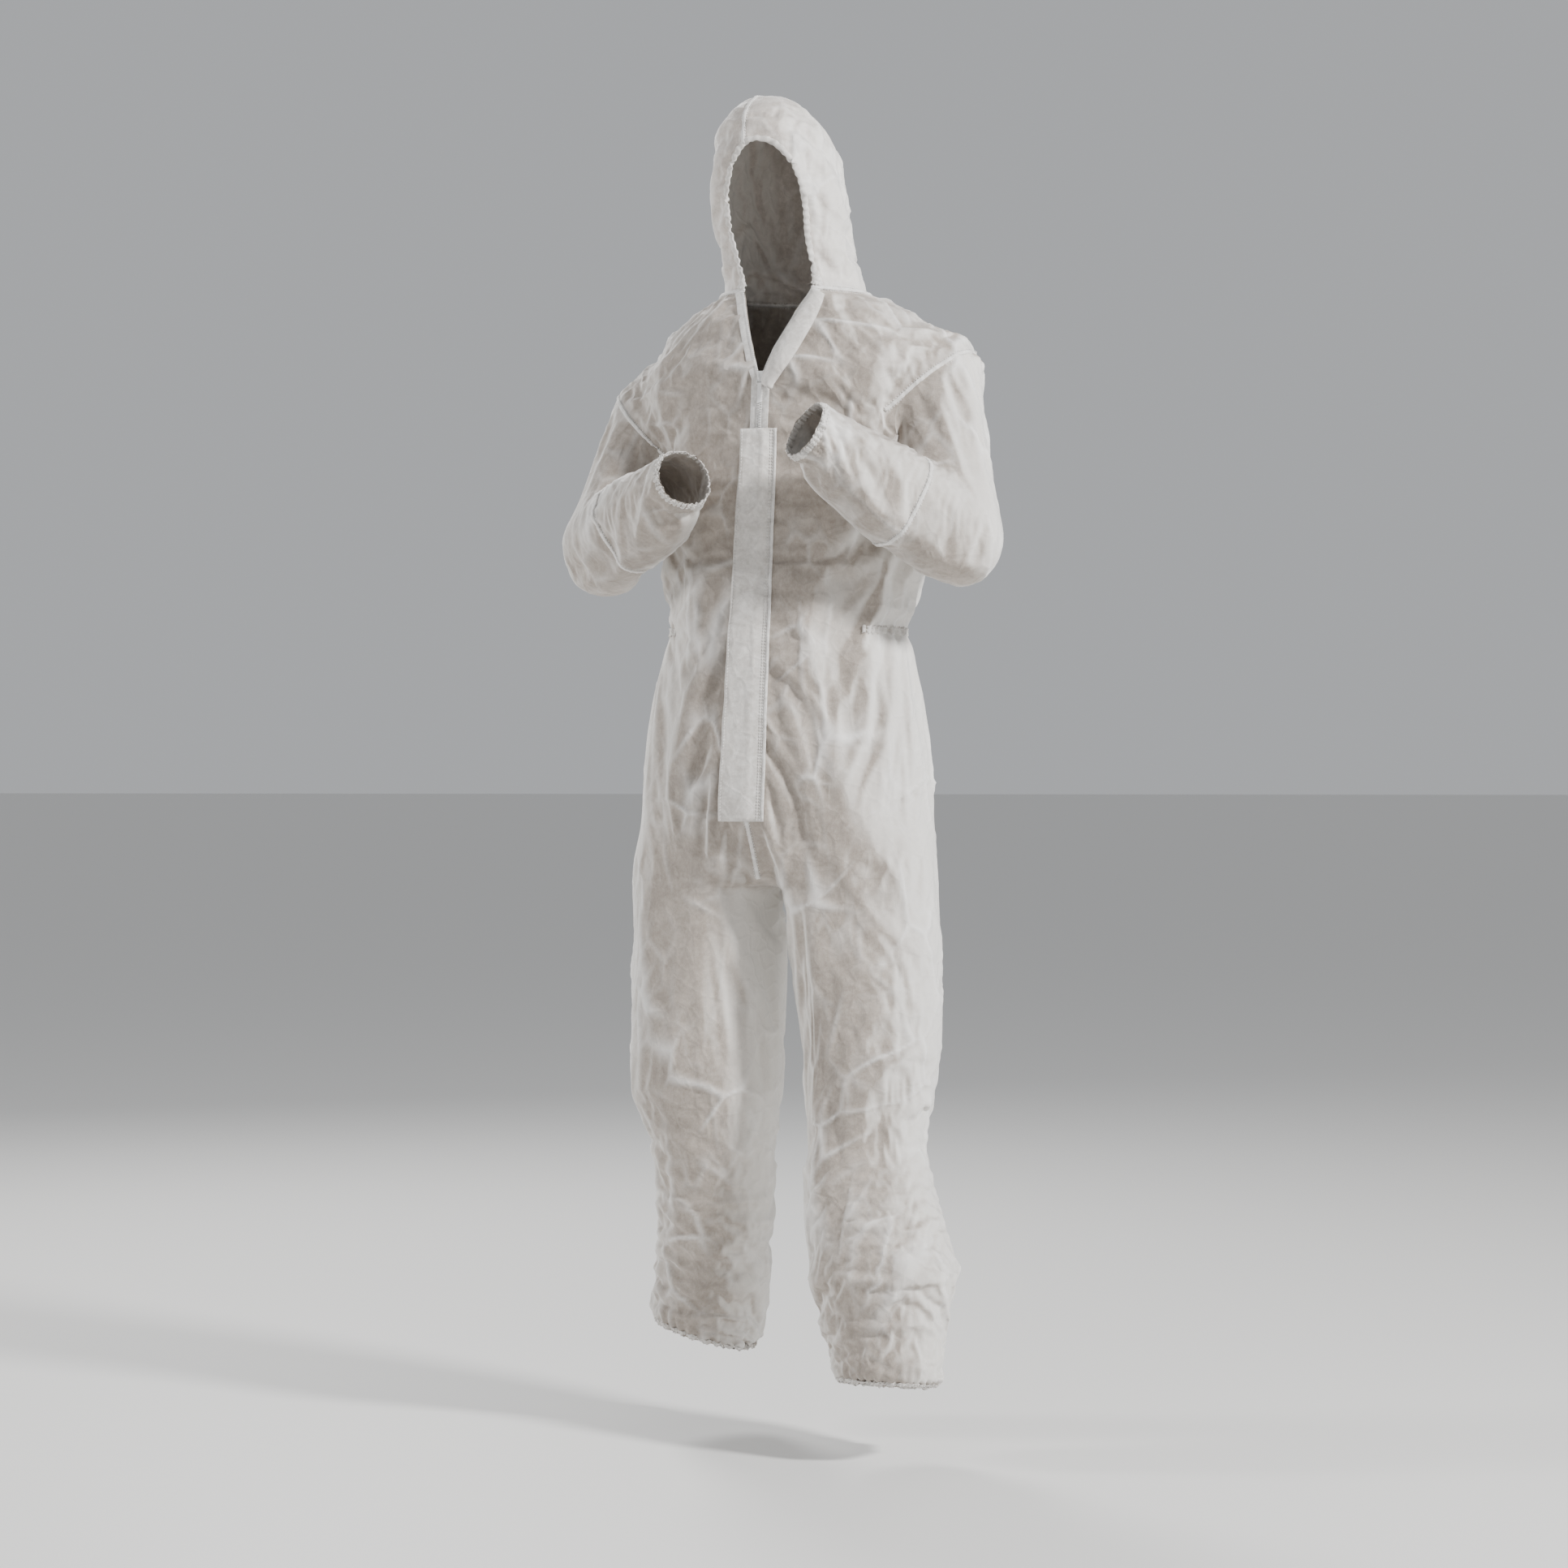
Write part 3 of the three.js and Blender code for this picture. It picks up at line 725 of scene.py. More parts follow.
def fine_sleeve(side):
    def fine(places):
        pos, axis = mount(f"{side}_cuff")
        _, elbow, wrist = sleeve_frame(side)
        forward = (wrist - elbow).normalized()
        across = forward.orthogonal().normalized()
        other = forward.cross(across)
        away = places - np.array(wrist)
        turn = np.arctan2(away @ np.array(other), away @ np.array(across))
        near_fore = axis_distance(places, elbow, wrist) < 0.09
        back = np.where(near_fore, (pos - places) @ axis, 1)
        move, crease_white_and_highlight = creases(places)
        move += pleats(back, turn, **CUFF_GATHERS)
        return move - 0.002 * hump(back, 0.012), crease_white_and_highlight

    return fine


def cell_edge(x, y, z, width=0.16):
    """How near a place is to the border between two random cells: 1 on the border, 0 away from it."""
    near = noise.voronoi(Vector((x, y, z)))[0]
    return max(0.0, 1 - (near[1] - near[0]) / width)


def patchy(x, y, z, share):
    """0 over most of the cloth and up to 1 in patches. A larger share gives larger patches."""
    return min(1.0, max(0.0, noise.noise(Vector((x, y, z))) + share) * 2.2)


def creases(places):
    """The straight sharp folds of paper-like cloth that was packed flat and has since been put on.

    Gives how far each point moves out, and how white its crease is: a whitened fold with a painted
    highlight along its ridge.
    """
    move = np.zeros(len(places))
    crease_white_and_highlight = np.zeros(len(places))
    for index, (x, y, z) in enumerate(places):
        sway = noise.noise(Vector((x * 6, y * 6, z * 5)))
        here = patchy(x * 8 + 4, y * 8, z * 7 - 3, 0.12)
        there = patchy(x * 9 - 9, y * 9, z * 8 + 5, 0.06)
        upright = cell_edge(x * 13 + sway * 0.7, y * 13 - sway * 0.7, z * 3.2 + sway, 0.13) * here
        slanted = cell_edge(x * 8 - z * 10 + sway + 7, y * 11 + 3, z * 7 + x * 8 - sway, 0.12) * there
        small = cell_edge(x * 24 + sway * 2, y * 24 + 5, z * 18 + sway, 0.2)
        small *= patchy(x * 15, y * 15, z * 13, 0.0)
        dent = noise.noise(Vector((x * 15 + sway, y * 15, z * 10)))
        move[index] = 0.0036 * upright + 0.0034 * slanted + 0.0012 * small + 0.0018 * dent
        # creases whitened, partly a painted highlight along the fold ridges, strongest on the larger
        # folds
        crease_white_and_highlight[index] = min(1.0, upright**1.5 + slanted**1.5 + 0.4 * small)
    return move, crease_white_and_highlight


def smooth_edges(made, times):
    """Evens out the open edges of a skin."""
    ends = {}
    for a, b in open_edges(made.data):
        ends.setdefault(a, []).append(b)
        ends.setdefault(b, []).append(a)
    edge = [v for v, near in ends.items() if len(near) == 2]
    before = [ends[v][0] for v in edge]
    after = [ends[v][1] for v in edge]
    places = points_of(made.data)
    for _ in range(times):
        places[edge] = (places[before] + 2 * places[edge] + places[after]) / 4
    set_points(made.data, places)


def refine(made, fine):
    """One subdivision, then the fine shape. Each point keeps, as a colour, how white its crease is
    (whitened fold and painted highlight) and which way it faces, which the material uses for painted edge
    brightening.
    """
    smooth_edges(made, 6)
    divide = made.modifiers.new("divide", "SUBSURF")
    divide.levels = 1
    divide.boundary_smooth = "PRESERVE_CORNERS"
    apply_modifiers(made, "divide")
    places = points_of(made.data)
    normals = normals_of(made.data)
    move, crease_white_and_highlight = fine(places)
    set_points(made.data, places + normals * move[:, None])
    smooth_edges(made, 3)
    # red: how white the crease is (whitened fold with painted highlight); green: how sideways the cloth
    # faces, which the material paints lighter as painted edge brightening; blue: how upward it faces
    tone = np.stack([crease_white_and_highlight, np.abs(normals[:, 0]), normals[:, 2], np.ones(len(crease_white_and_highlight))], axis=1)
    mark = made.data.attributes.new("tone", "FLOAT_COLOR", "POINT")
    mark.data.foreach_set("color", tone.astype(np.float32).ravel())


def separate(made, names):
    """The pieces of a cut skin, with the whole skin's normals, so that no seam shows between them."""
    mesh = made.data
    places = points_of(mesh)
    normals = normals_of(mesh)
    tone = np.empty(len(places) * 4, dtype=np.float32)
    mesh.attributes["tone"].data.foreach_get("color", tone)
    tone = tone.reshape(-1, 4)
    marks = np.empty(len(mesh.polygons), dtype=np.int32)
    mesh.attributes["piece"].data.foreach_get("value", marks)
    faces = faces_of(mesh)
    pieces = {}
    for number, name in names.items():
        own = [face for face, mark in zip(faces, marks) if mark == number]
        used = sorted({v for face in own for v in face})
        place_of = {v: i for i, v in enumerate(used)}
        piece_mesh = bpy.data.meshes.new(name)
        piece_mesh.from_pydata(
            [tuple(places[v]) for v in used], [], [[place_of[v] for v in face] for face in own]
        )
        piece_mesh.polygons.foreach_set("use_smooth", [True] * len(own))
        piece_mesh.normals_split_custom_set_from_vertices([tuple(normals[v]) for v in used])
        mark = piece_mesh.attributes.new("tone", "FLOAT_COLOR", "POINT")
        mark.data.foreach_set("color", tone[used].ravel())
        pieces[name] = placed(name, piece_mesh)
    return pieces


def make_skin(made, hold, fields, label, fine, most):
    """Buckles a closed shape, refines it and cuts it into its pieces."""
    rest = points_of(made.data).copy()
    buckle(made, hold)
    cap_moves(made, rest, most)
    buckled = points_of(made.data).copy()
    set_points(made.data, rest)
    shift = buckled - rest
    tree = BVHTree.FromPolygons([tuple(p) for p in rest], faces_of(made.data))
    old_faces = faces_of(made.data)
    names = cut_along(made, fields, label)
    cut_places = points_of(made.data).copy()
    moved = np.zeros_like(cut_places)
    for index, place in enumerate(cut_places):
        _, _, face, _ = tree.find_nearest(Vector(place))
        corners = old_faces[face]
        weights = 1 / (np.linalg.norm(rest[corners] - place, axis=1) + 1e-5) ** 2
        moved[index] = (shift[corners] * weights[:, None]).sum(axis=0) / weights.sum()
    set_points(made.data, cut_places + moved)
    refine(made, fine)
    return separate(made, names)


# ------------------------------------------------------------------ lines along seams
def seam_plane(node):
    """The plane that best fits a node's points: its middle and its normal."""
    places = points_of(frame["nodes"][node].data)
    centre = places.mean(axis=0)
    normal = np.linalg.svd(places - centre, full_matrices=False)[2][2]
    return centre, normal


def ordered(points, normal):
    """Points on a plane in order, round their middle or along their length. Also says if they close."""
    spread = points - points.mean(axis=0)
    sizes, ways = np.linalg.svd(spread, full_matrices=False)[1:]
    if sizes[1] < 0.3 * sizes[0]:
        along = spread @ ways[0]
        return points[np.argsort(along)], False
    middle_of = (points.min(axis=0) + points.max(axis=0)) / 2
    across = np.cross(normal, [0.3, 0.5, 0.81])
    across /= np.linalg.norm(across)
    other = np.cross(normal, across)
    turn = np.arctan2((points - middle_of) @ other, (points - middle_of) @ across)
    order = np.argsort(turn)
    turn = turn[order]
    points = points[order]
    gaps = np.diff(np.append(turn, turn[0] + 2 * np.pi))
    widest = int(np.argmax(gaps))
    if gaps[widest] > math.radians(14):
        return np.roll(points, -(widest + 1), axis=0), False
    return points, True


def lengths_along(line):
    """How far along a line each of its points is."""
    return np.concatenate([[0], np.cumsum(np.linalg.norm(np.diff(line, axis=0), axis=1))])


def read_at(marks, known, rows, period=None):
    """Rows of three values that belong to known marks, read at other marks."""
    return np.stack([np.interp(marks, known, rows[:, k], period=period) for k in range(3)], axis=-1)


def resampled(points, closed, step):
    """A line of even steps through ordered points, smoothed a little."""
    if closed:
        points = np.vstack([points, points[:1]])
    lengths = lengths_along(points)
    count = max(int(lengths[-1] / step), 8)
    marks = np.linspace(0, lengths[-1], count, endpoint=not closed)
    line = read_at(marks, lengths, points)
    for _ in range(3):
        if closed:
            line = (np.roll(line, 1, axis=0) + 2 * line + np.roll(line, -1, axis=0)) / 4
        else:
            line[1:-1] = (line[:-2] + 2 * line[1:-1] + line[2:]) / 4
    return line


def seam_line(node, cloths, reach, step):
    """The line where a seam node's plane cuts some pieces of cloth, near that node."""
    centre, normal = seam_plane(node)
    points = slice_points(edges_of([cloth.data for cloth in cloths]), centre, normal)
    tree = tree_of([vertex.co for vertex in frame["nodes"][node].data.vertices])
    points = np.array([p for p in points if tree.find(p)[2] < reach])
    line, closed = ordered(points, normal)
    return resampled(line, closed, step), closed


def outward(line, cloths):
    """The cloth's normal beside each point of a line."""
    vertices = [vertex for cloth in cloths for vertex in cloth.data.vertices]
    tree = tree_of([vertex.co for vertex in vertices])
    out = np.array([vertices[tree.find(place)[1]].normal for place in line])
    for _ in range(2):
        out = np.roll(out, 1, axis=0) + 2 * out + np.roll(out, -1, axis=0)
    return unit(out)


def mesh_piece(name, places, faces, material, slot, smooth=True):
    mesh = bpy.data.meshes.new(name)
    mesh.from_pydata([tuple(p) for p in places], [], faces)
    mesh.polygons.foreach_set("use_smooth", [smooth] * len(faces))
    mesh.update()
    bm = bmesh.new()
    bm.from_mesh(mesh)
    bmesh.ops.recalc_face_normals(bm, faces=bm.faces)
    bm.to_mesh(mesh)
    bm.free()
    mesh.materials.append(material)
    made = placed(name, mesh)
    return made


def ribbon(line, out, closed, width, height, lift=0.0, ruffle=0.0, waves=0.006):
    """A closed flat band along a line. ruffle makes it rise and fall, as if it were gathered."""
    ahead = np.roll(line, -1, axis=0) - np.roll(line, 1, axis=0)
    if not closed:
        ahead[0] = line[1] - line[0]
        ahead[-1] = line[-1] - line[-2]
    side = unit(np.cross(out, unit(ahead)))
    travelled = np.arange(len(line)) * np.linalg.norm(line[1] - line[0])
    wander = 1.3 * np.sin(travelled * 61) + 0.9 * np.sin(travelled * 137 + 1)
    wave = np.sin(travelled * 2 * np.pi / waves + wander)
    section = [(math.cos(t), math.sin(t)) for t in np.arange(8) * np.pi / 4]
    places = []
    for index, centre in enumerate(line):
        for across, up in section:
            bulge = np.sign(across) * abs(across) ** 0.5 * width / 2
            top = np.sign(up) * abs(up) ** 0.6 * height / 2
            rise = lift + top + ruffle * wave[index] * (0.45 + 0.55 * abs(across))
            place = centre + side[index] * (bulge + ruffle * 0.4 * wave[index - 1]) + out[index] * rise
            places.append(place)
    count = len(line)
    faces = []
    last = count if closed else count - 1
    for i in range(last):
        j = (i + 1) % count
        for k in range(8):
            m = (k + 1) % 8
            faces.append([i * 8 + k, i * 8 + m, j * 8 + m, j * 8 + k])
    if not closed:
        faces.append(list(range(8)))
        faces.append([(count - 1) * 8 + k for k in range(8)])
    return np.array(places), faces


def joined(parts):
    """Several sets of points and faces as one."""
    places = []
    faces = []
    for own_places, own_faces in parts:
        start = sum(len(p) for p in places)
        places.append(own_places)
        faces += [[v + start for v in face] for face in own_faces]
    return np.concatenate(places), faces


def stitches(line, out, pitch=0.0042, length=0.0026, thick=0.00045, lift=0.0005):
    """Short rounded stitches along a line, as one set of points and faces."""
    lengths = lengths_along(line)
    parts = []
    for start in np.arange(0.001, lengths[-1] - length, pitch):
        marks = np.array([start, start + length * 0.5, start + length])
        ups = read_at(marks, lengths, out)
        middle_line = read_at(marks, lengths, line)
        middle_line = middle_line + ups * np.array([[lift - thick], [lift], [lift - thick]])
        parts.append(ribbon(middle_line, ups, False, thick * 2, thick * 2))
    return joined(parts)


# ------------------------------------------------------------------ materials
def node_kit(name):
    """A material and its shader, with functions that add a node, link, map a range and mix colours."""
    made = bpy.data.materials.new(name)
    made.use_nodes = True
    tree = made.node_tree

    def node(kind, **settings):
        new = tree.nodes.new(kind)
        for key, value in settings.items():
            if key in new.inputs:
                new.inputs[key].default_value = value
            else:
                setattr(new, key, value)
        return new

    def link(a, b):
        tree.links.new(a, b)

    def ranged(value, low=0.0, high=1.0, to_low=0.0, to_high=1.0):
        limits = {"From Min": low, "From Max": high, "To Min": to_low, "To Max": to_high}
        new = node("ShaderNodeMapRange", **limits)
        link(value, new.inputs["Value"])
        return new.outputs["Result"]

    def mix(kind, factor, a, b):
        new = node("ShaderNodeMix", data_type="RGBA", blend_type=kind)
        if isinstance(factor, float):
            new.inputs["Factor"].default_value = factor
        else:
            link(factor, new.inputs["Factor"])
        for socket, value in ((new.inputs[6], a), (new.inputs[7], b)):
            if isinstance(value, tuple):
                socket.default_value = value
            else:
                link(value, socket)
        return new.outputs[2]

    return made, tree.nodes["Principled BSDF"], node, link, ranged, mix


def fabric(name, light, dark, rough=0.82, bump=0.35, fibre=1.0, sheen=0.25, toned=False):
    """Spunbond cloth: matted fibres, a faint point-bonded grid and uneven thickness."""
    made, shader, node, link, ranged, mix = node_kit(name)
    where = node("ShaderNodeTexCoord").outputs["Object"]
    cloudy = node("ShaderNodeTexNoise", Scale=7.0, Detail=3.0, Roughness=0.55)
    mottle = node("ShaderNodeTexNoise", Scale=160.0, Detail=6.0, Roughness=0.7)
    blotch = node("ShaderNodeTexNoise", Scale=46.0, Detail=7.0, Roughness=0.68, Distortion=0.6)
    stretch = node("ShaderNodeMapping")
    stretch.inputs["Scale"].default_value = (1.0, 1.0, 0.28)
    fibres = node("ShaderNodeTexNoise", Scale=620.0 * fibre, Detail=5.0, Roughness=0.75, Distortion=1.2)
    bonds = node("ShaderNodeTexVoronoi", Scale=520.0, Randomness=0.12, feature="F1")
    for texture in (cloudy, mottle, blotch, bonds):
        link(where, texture.inputs["Vector"])
    link(where, stretch.inputs["Vector"])
    link(stretch.outputs["Vector"], fibres.inputs["Vector"])
    ground = mix("MIX", ranged(cloudy.outputs["Fac"], 0.3, 0.7), dark, light)
    thin = mix("MULTIPLY", 1.0, ground, (0.76, 0.745, 0.73, 1))
    ground = mix("MIX", ranged(blotch.outputs["Fac"], 0.38, 0.64), thin, ground)
    shaded = mix("MULTIPLY", 1.0, ground, (0.80, 0.79, 0.78, 1))
    flecked = mix("MIX", ranged(mottle.outputs["Fac"], 0.34, 0.66), shaded, ground)
    strand = ranged(fibres.outputs["Fac"], 0.35, 0.75, to_high=0.35)
    colour = mix("SCREEN", strand, flecked, (0.30, 0.29, 0.27, 1))
    if toned:
        tone = node("ShaderNodeVertexColor", layer_name="tone")
        parts = node("ShaderNodeSeparateColor")
        link(tone.outputs["Color"], parts.inputs["Color"])
        # painted edge brightening: cloth whose normal faces sideways is painted lighter, as if lit at the
        # silhouette
        turned = ranged(parts.outputs["Green"], 0.45, to_high=0.85)
        colour = mix("MIX", turned, colour, (0.86, 0.84, 0.80, 1))
        # creases painted towards near-white: whitened folds with a painted highlight along their ridges
        edge = node("ShaderNodeMath", operation="MULTIPLY")
        link(parts.outputs["Red"], edge.inputs[0])
        edge.inputs[1].default_value = 0.55
        colour = mix("MIX", edge.outputs["Value"], colour, (0.97, 0.96, 0.94, 1))
    link(colour, shader.inputs["Base Color"])
    matt = ranged(mottle.outputs["Fac"], to_low=rough - 0.12, to_high=rough + 0.1)
    link(matt, shader.inputs["Roughness"])
    shader.inputs["Sheen Weight"].default_value = sheen
    shader.inputs["Sheen Roughness"].default_value = 0.45
    shader.inputs["Specular IOR Level"].default_value = 0.35
    height = node("ShaderNodeMath", operation="ADD")
    link(fibres.outputs["Fac"], height.inputs[0])
    dots = node("ShaderNodeMath", operation="MULTIPLY")
    link(bonds.outputs["Distance"], dots.inputs[0])
    dots.inputs[1].default_value = 0.6
    link(dots.outputs["Value"], height.inputs[1])
    bent = node("ShaderNodeMixRGB", blend_type="ADD")
    bent.inputs["Fac"].default_value = 0.035
    link(where, bent.inputs["Color1"])
    link(cloudy.outputs["Color"], bent.inputs["Color2"])
    crinkle = node("ShaderNodeTexVoronoi", Scale=42.0, feature="DISTANCE_TO_EDGE")
    link(bent.outputs["Color"], crinkle.inputs["Vector"])
    ridge = ranged(crinkle.outputs["Distance"], 0.0, 0.16, 1.0, 0.0)
    fine = node("ShaderNodeBump", Strength=bump, Distance=0.0004)
    link(height.outputs["Value"], fine.inputs["Height"])
    broad = node("ShaderNodeBump", Strength=0.35, Distance=0.0015)
    link(ridge, broad.inputs["Height"])
    link(fine.outputs["Normal"], broad.inputs["Normal"])
    link(broad.outputs["Normal"], shader.inputs["Normal"])
    return made


def moulded(name, colour, rough):
    """White nylon with faint moulding marks and wear."""
    made, shader, node, link, ranged, mix = node_kit(name)
    marks = node("ShaderNodeTexNoise", Scale=240.0, Detail=4.0).outputs["Fac"]
    darker = tuple(c * 0.9 for c in colour[:3]) + (1,)
    link(mix("MIX", marks, darker, colour), shader.inputs["Base Color"])
    link(ranged(marks, to_low=rough - 0.1, to_high=rough + 0.12), shader.inputs["Roughness"])
    bump = node("ShaderNodeBump", Strength=0.15, Distance=0.0003)
    link(marks, bump.inputs["Height"])
    link(bump.outputs["Normal"], shader.inputs["Normal"])
    return made


# ------------------------------------------------------------------ stage, light and camera
def area_light(name, place, target, energy, size):
    data = bpy.data.lights.new(name, "AREA")
    data.energy = energy
    data.shape = "DISK"
    data.size = size
    lamp = placed(name, data)
    lamp.location = place
    lamp.rotation_euler = (Vector(target) - Vector(place)).to_track_quat("-Z", "Y").to_euler()


FLOOR_HEIGHT = -1.592  # the suit hangs a little above the floor
FLOOR_SIZE = 600


def studio():
    bpy.ops.mesh.primitive_plane_add(size=FLOOR_SIZE, location=(0, 0, FLOOR_HEIGHT))
    floor = bpy.context.object
    floor.name = "floor"
    paint = bpy.data.materials.new("floor_paint")
    paint.use_nodes = True
    paint.node_tree.nodes["Principled BSDF"].inputs["Base Color"].default_value = (0.74, 0.73, 0.71, 1)
    floor.data.materials.append(paint)
    world = bpy.data.worlds.new("studio")
    world.use_nodes = True
    sky = world.node_tree.nodes["Background"].inputs
    sky["Color"].default_value = (0.82, 0.84, 0.87, 1)
    sky["Strength"].default_value = 0.55
    bpy.context.scene.world = world
    aim = (0, 0, -0.6)
    area_light("key", (3.6, -1.2, 1.9), aim, 330, 0.6)
    area_light("fill", (-4.2, -1.6, 0.9), aim, 120, 1.0)
    area_light("rim", (-2.2, 2.6, 1.6), aim, 110, 1.2)


def camera():
    """A level camera, 20 degrees round to the wearer's left."""
    turn = math.radians(20)
    away = 5.0
    frame_height = 2.19
    aim = Vector((0.0, 0.0, -0.681))
    data = bpy.data.cameras.new("camera")
    data.sensor_fit = "VERTICAL"
    data.angle = 2 * math.atan(frame_height / 2 / away)
    made = placed("camera", data)
    made.location = aim + Vector((math.sin(turn), -math.cos(turn), 0)) * away
    made.rotation_euler = (aim - made.location).to_track_quat("-Z", "Y").to_euler()
    bpy.context.scene.camera = made


# ------------------------------------------------------------------ the cloth
def point(place):
    return tuple(float(c) for c in place)


def make_cloth():
    made = make_skin(body_shape(), hold_body, body_fields(), body_label, fine_body, BODY_MOST)
    for side in SIDES:
        fields = sleeve_fields(side)
        label = sleeve_label(side)
        fine = fine_sleeve(side)
        sleeve = make_skin(sleeve_shape(side), hold_sleeve(side), fields, label, fine, SLEEVE_MOST)
        made.update(sleeve)
    for name in ["body"] + [f"{side}_sleeve" for side in SIDES]:
        bpy.data.objects.remove(bpy.data.objects[name])
    return made


def edge_points(made):
    """The numbers of a piece's points on its open edges."""
    return sorted({v for key in open_edges(made.data) for v in key})


def rim(side, made, reach):
    """A piece's points, the numbers of those round an armhole, and their turn about its middle."""
    origin, out = armhole(side)
    places = points_of(made.data)
    edge = np.array([v for v in edge_points(made) if places[v][0] * SIDES[side] > SEAM_SIDE])
    off = (places[edge] - origin) @ out
    half_way, down = sleeve_parting(side)
    above = (places[edge] - half_way) @ down < -0.006
    about = np.linalg.norm(places[edge] - origin, axis=1) < 0.2
    edge = edge[about & (off > -0.04) & (off < reach) & above]
    across = np.array([0.0, 1.0, 0.0])
    other = np.cross(out, across)
    away = places[edge] - origin
    turn = np.arctan2(away @ other, away @ across)
    order = np.argsort(turn)
    return places, edge[order], turn[order]


def draw_edge(made, places, edge, pull, reach):
    """Moves a piece's edge points by a pull, and the cloth near them by a share of it.

    The piece's other edges stay, since they join other pieces.
    """
    moving = tree_of(places[edge])
    staying = tree_of(places[np.setdiff1d(edge_points(made), edge)])
    start = places.copy()
    for index, place in enumerate(start):
        near = moving.find_n(place, 6)
        away = near[0][2]
        if away < reach:
            still = staying.find(place)[2]
            share = (1 - away / reach) ** 2 * still / (still + away + 1e-6)
            shares = np.array([1 / (n[2] + 1e-5) for n in near])
            moves = np.array([pull[n[1]] for n in near])
            places[index] = place + (shares[:, None] * moves).sum(axis=0) / shares.sum() * share
    set_points(made.data, places)


def close_armhole(side, trunk, sleeve):
    """Brings the top of a sleeve and the edge of the trunk's armhole together."""
    origin, out = armhole(side)
    trunk_places, hole, hole_turn = rim(side, trunk, 0.2)
    flat = np.abs((trunk_places[hole] - origin) @ out) < HOLE_FLAT
    places, edge, turn = rim(side, sleeve, RIM_REACH)
    target = read_at(turn, hole_turn[flat], trunk_places[hole[flat]], period=2 * np.pi)
    draw_edge(sleeve, places, edge, target - places[edge], SLEEVE_DRAWN)
    places, edge, _ = rim(side, sleeve, RIM_REACH)
    line = resampled(places[edge], True, 0.001)
    tree = tree_of(line)
    pull = np.array([np.array(tree.find(place)[0]) - place for place in trunk_places[hole]])
    draw_edge(trunk, trunk_places, hole, pull, TRUNK_DRAWN)


# distances from the armhole's plane, the elbow and the trunk's lower line to start and end points that
# nothing uses
SHOULDER_END = 0.068
ELBOW_BEFORE = 0.045
ELBOW_AFTER = 0.08
HIP_START = 0.006
HIP_END = 0.11


def assign_cloth():
    """Gives each cloth piece its material and the nodes it stands for, which it hides. Only the trunk's
    cloth follows a body; the other pieces are baked where they are.
    """
    shown_by = {
        "trunk_cloth": PANELS,
        "hood_cloth": HOOD_NODES,
    }
    for side in SIDES:
        shown_by[f"{side}_leg_top"] = named(side, "hip_fold")
        shown_by[f"{side}_leg_end"] = named(side, "thigh_panel", "knee_fold", "shin_panel")
        shown_by[f"{side}_sleeve_top"] = named(side, "shoulder_fold")
        shown_by[f"{side}_sleeve_end"] = named(side, "upper_sleeve", "elbow_fold", "lower_sleeve")
    for name, nodes in shown_by.items():
        pieces[name].data.materials.append(cloths["hood" if name == "hood_cloth" else "spunbond"])
        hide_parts(*nodes)
    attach(pieces["trunk_cloth"], "trunk")
    over_neck(pieces["hood_cloth"])
    for side in SIDES:
        shoulder, elbow, wrist = sleeve_frame(side)
        origin, out = armhole(side)
        names = ("trunk", f"{side}_upper_sleeve")
        start = origin + out * RIM_REACH  # at the rim of the armhole's hole
        end = origin + out * SHOULDER_END
        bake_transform(pieces[f"{side}_sleeve_top"], *names, start=point(start), end=point(end))
        before = elbow - (elbow - shoulder).normalized() * ELBOW_BEFORE
        after = elbow + (wrist - elbow).normalized() * ELBOW_AFTER
        names = (f"{side}_upper_sleeve", f"{side}_lower_sleeve")
        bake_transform(pieces[f"{side}_sleeve_end"], *names, start=point(before), end=point(after))
        hip = joint_place(f"{side}_hip")
        away = np.array([BRIEF_SLOPE * SIDES[side], 0, -1]) / math.hypot(BRIEF_SLOPE, 1)
        brief = np.array([hip.x, hip.y, crotch + BRIEF_SLOPE * abs(hip.x)])
        start = point(brief + away * HIP_START)
        end = point(brief + away * HIP_END)
        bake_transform(pieces[f"{side}_leg_top"])
        low, high = box(f"{side}_knee_fold")
        start = (hip.x, 0, high.z)
        end = (hip.x, 0, low.z)
        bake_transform(pieces[f"{side}_leg_end"])


def over_neck(piece):
    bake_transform(piece)


# ------------------------------------------------------------------ seams and elastics
SEAM_WIDTH = 0.00578
SEAM_HEIGHT = 0.00255
SEAM_LIFT = 0.000765  # of its middle above the cloth
SEAM_ROWS = 0.0038  # from its middle to each row of stitches
ELASTIC_HEIGHT = 0.0018
CUFF_WIDTH = 0.010
WAIST_WIDTH = 0.011


def sewn_strip(name, node, body, cloth, line, out, strip, row_gap, lift):
    """A strip in a seam node's place, with a row of stitches on each side of its middle."""
    made = mesh_piece(name, *strip, cloths[cloth], cloth)
    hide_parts(node)
    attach(made, body)
    across = unit(np.cross(out, np.gradient(line, axis=0)))
    rows = joined([stitches(line + across * reach, out, lift=lift) for reach in (-row_gap, row_gap)])
    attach(mesh_piece(f"{name}_stitches", *rows, cloths["thread"], "seam"), body)


def sewn_seam(name, node, over, body):
    """A raised seam with a row of stitches on each side of it."""
    line, closed = seam_line(node, over, 0.02, 0.003)
    out = outward(line, over)
    rolled = {"lift": SEAM_LIFT, "ruffle": 0.0005, "waves": 0.008}
    welt = ribbon(line, out, closed, SEAM_WIDTH, SEAM_HEIGHT, **rolled)
    sewn_strip(name, node, body, "seam", line, out, welt, SEAM_ROWS, 0.0006)


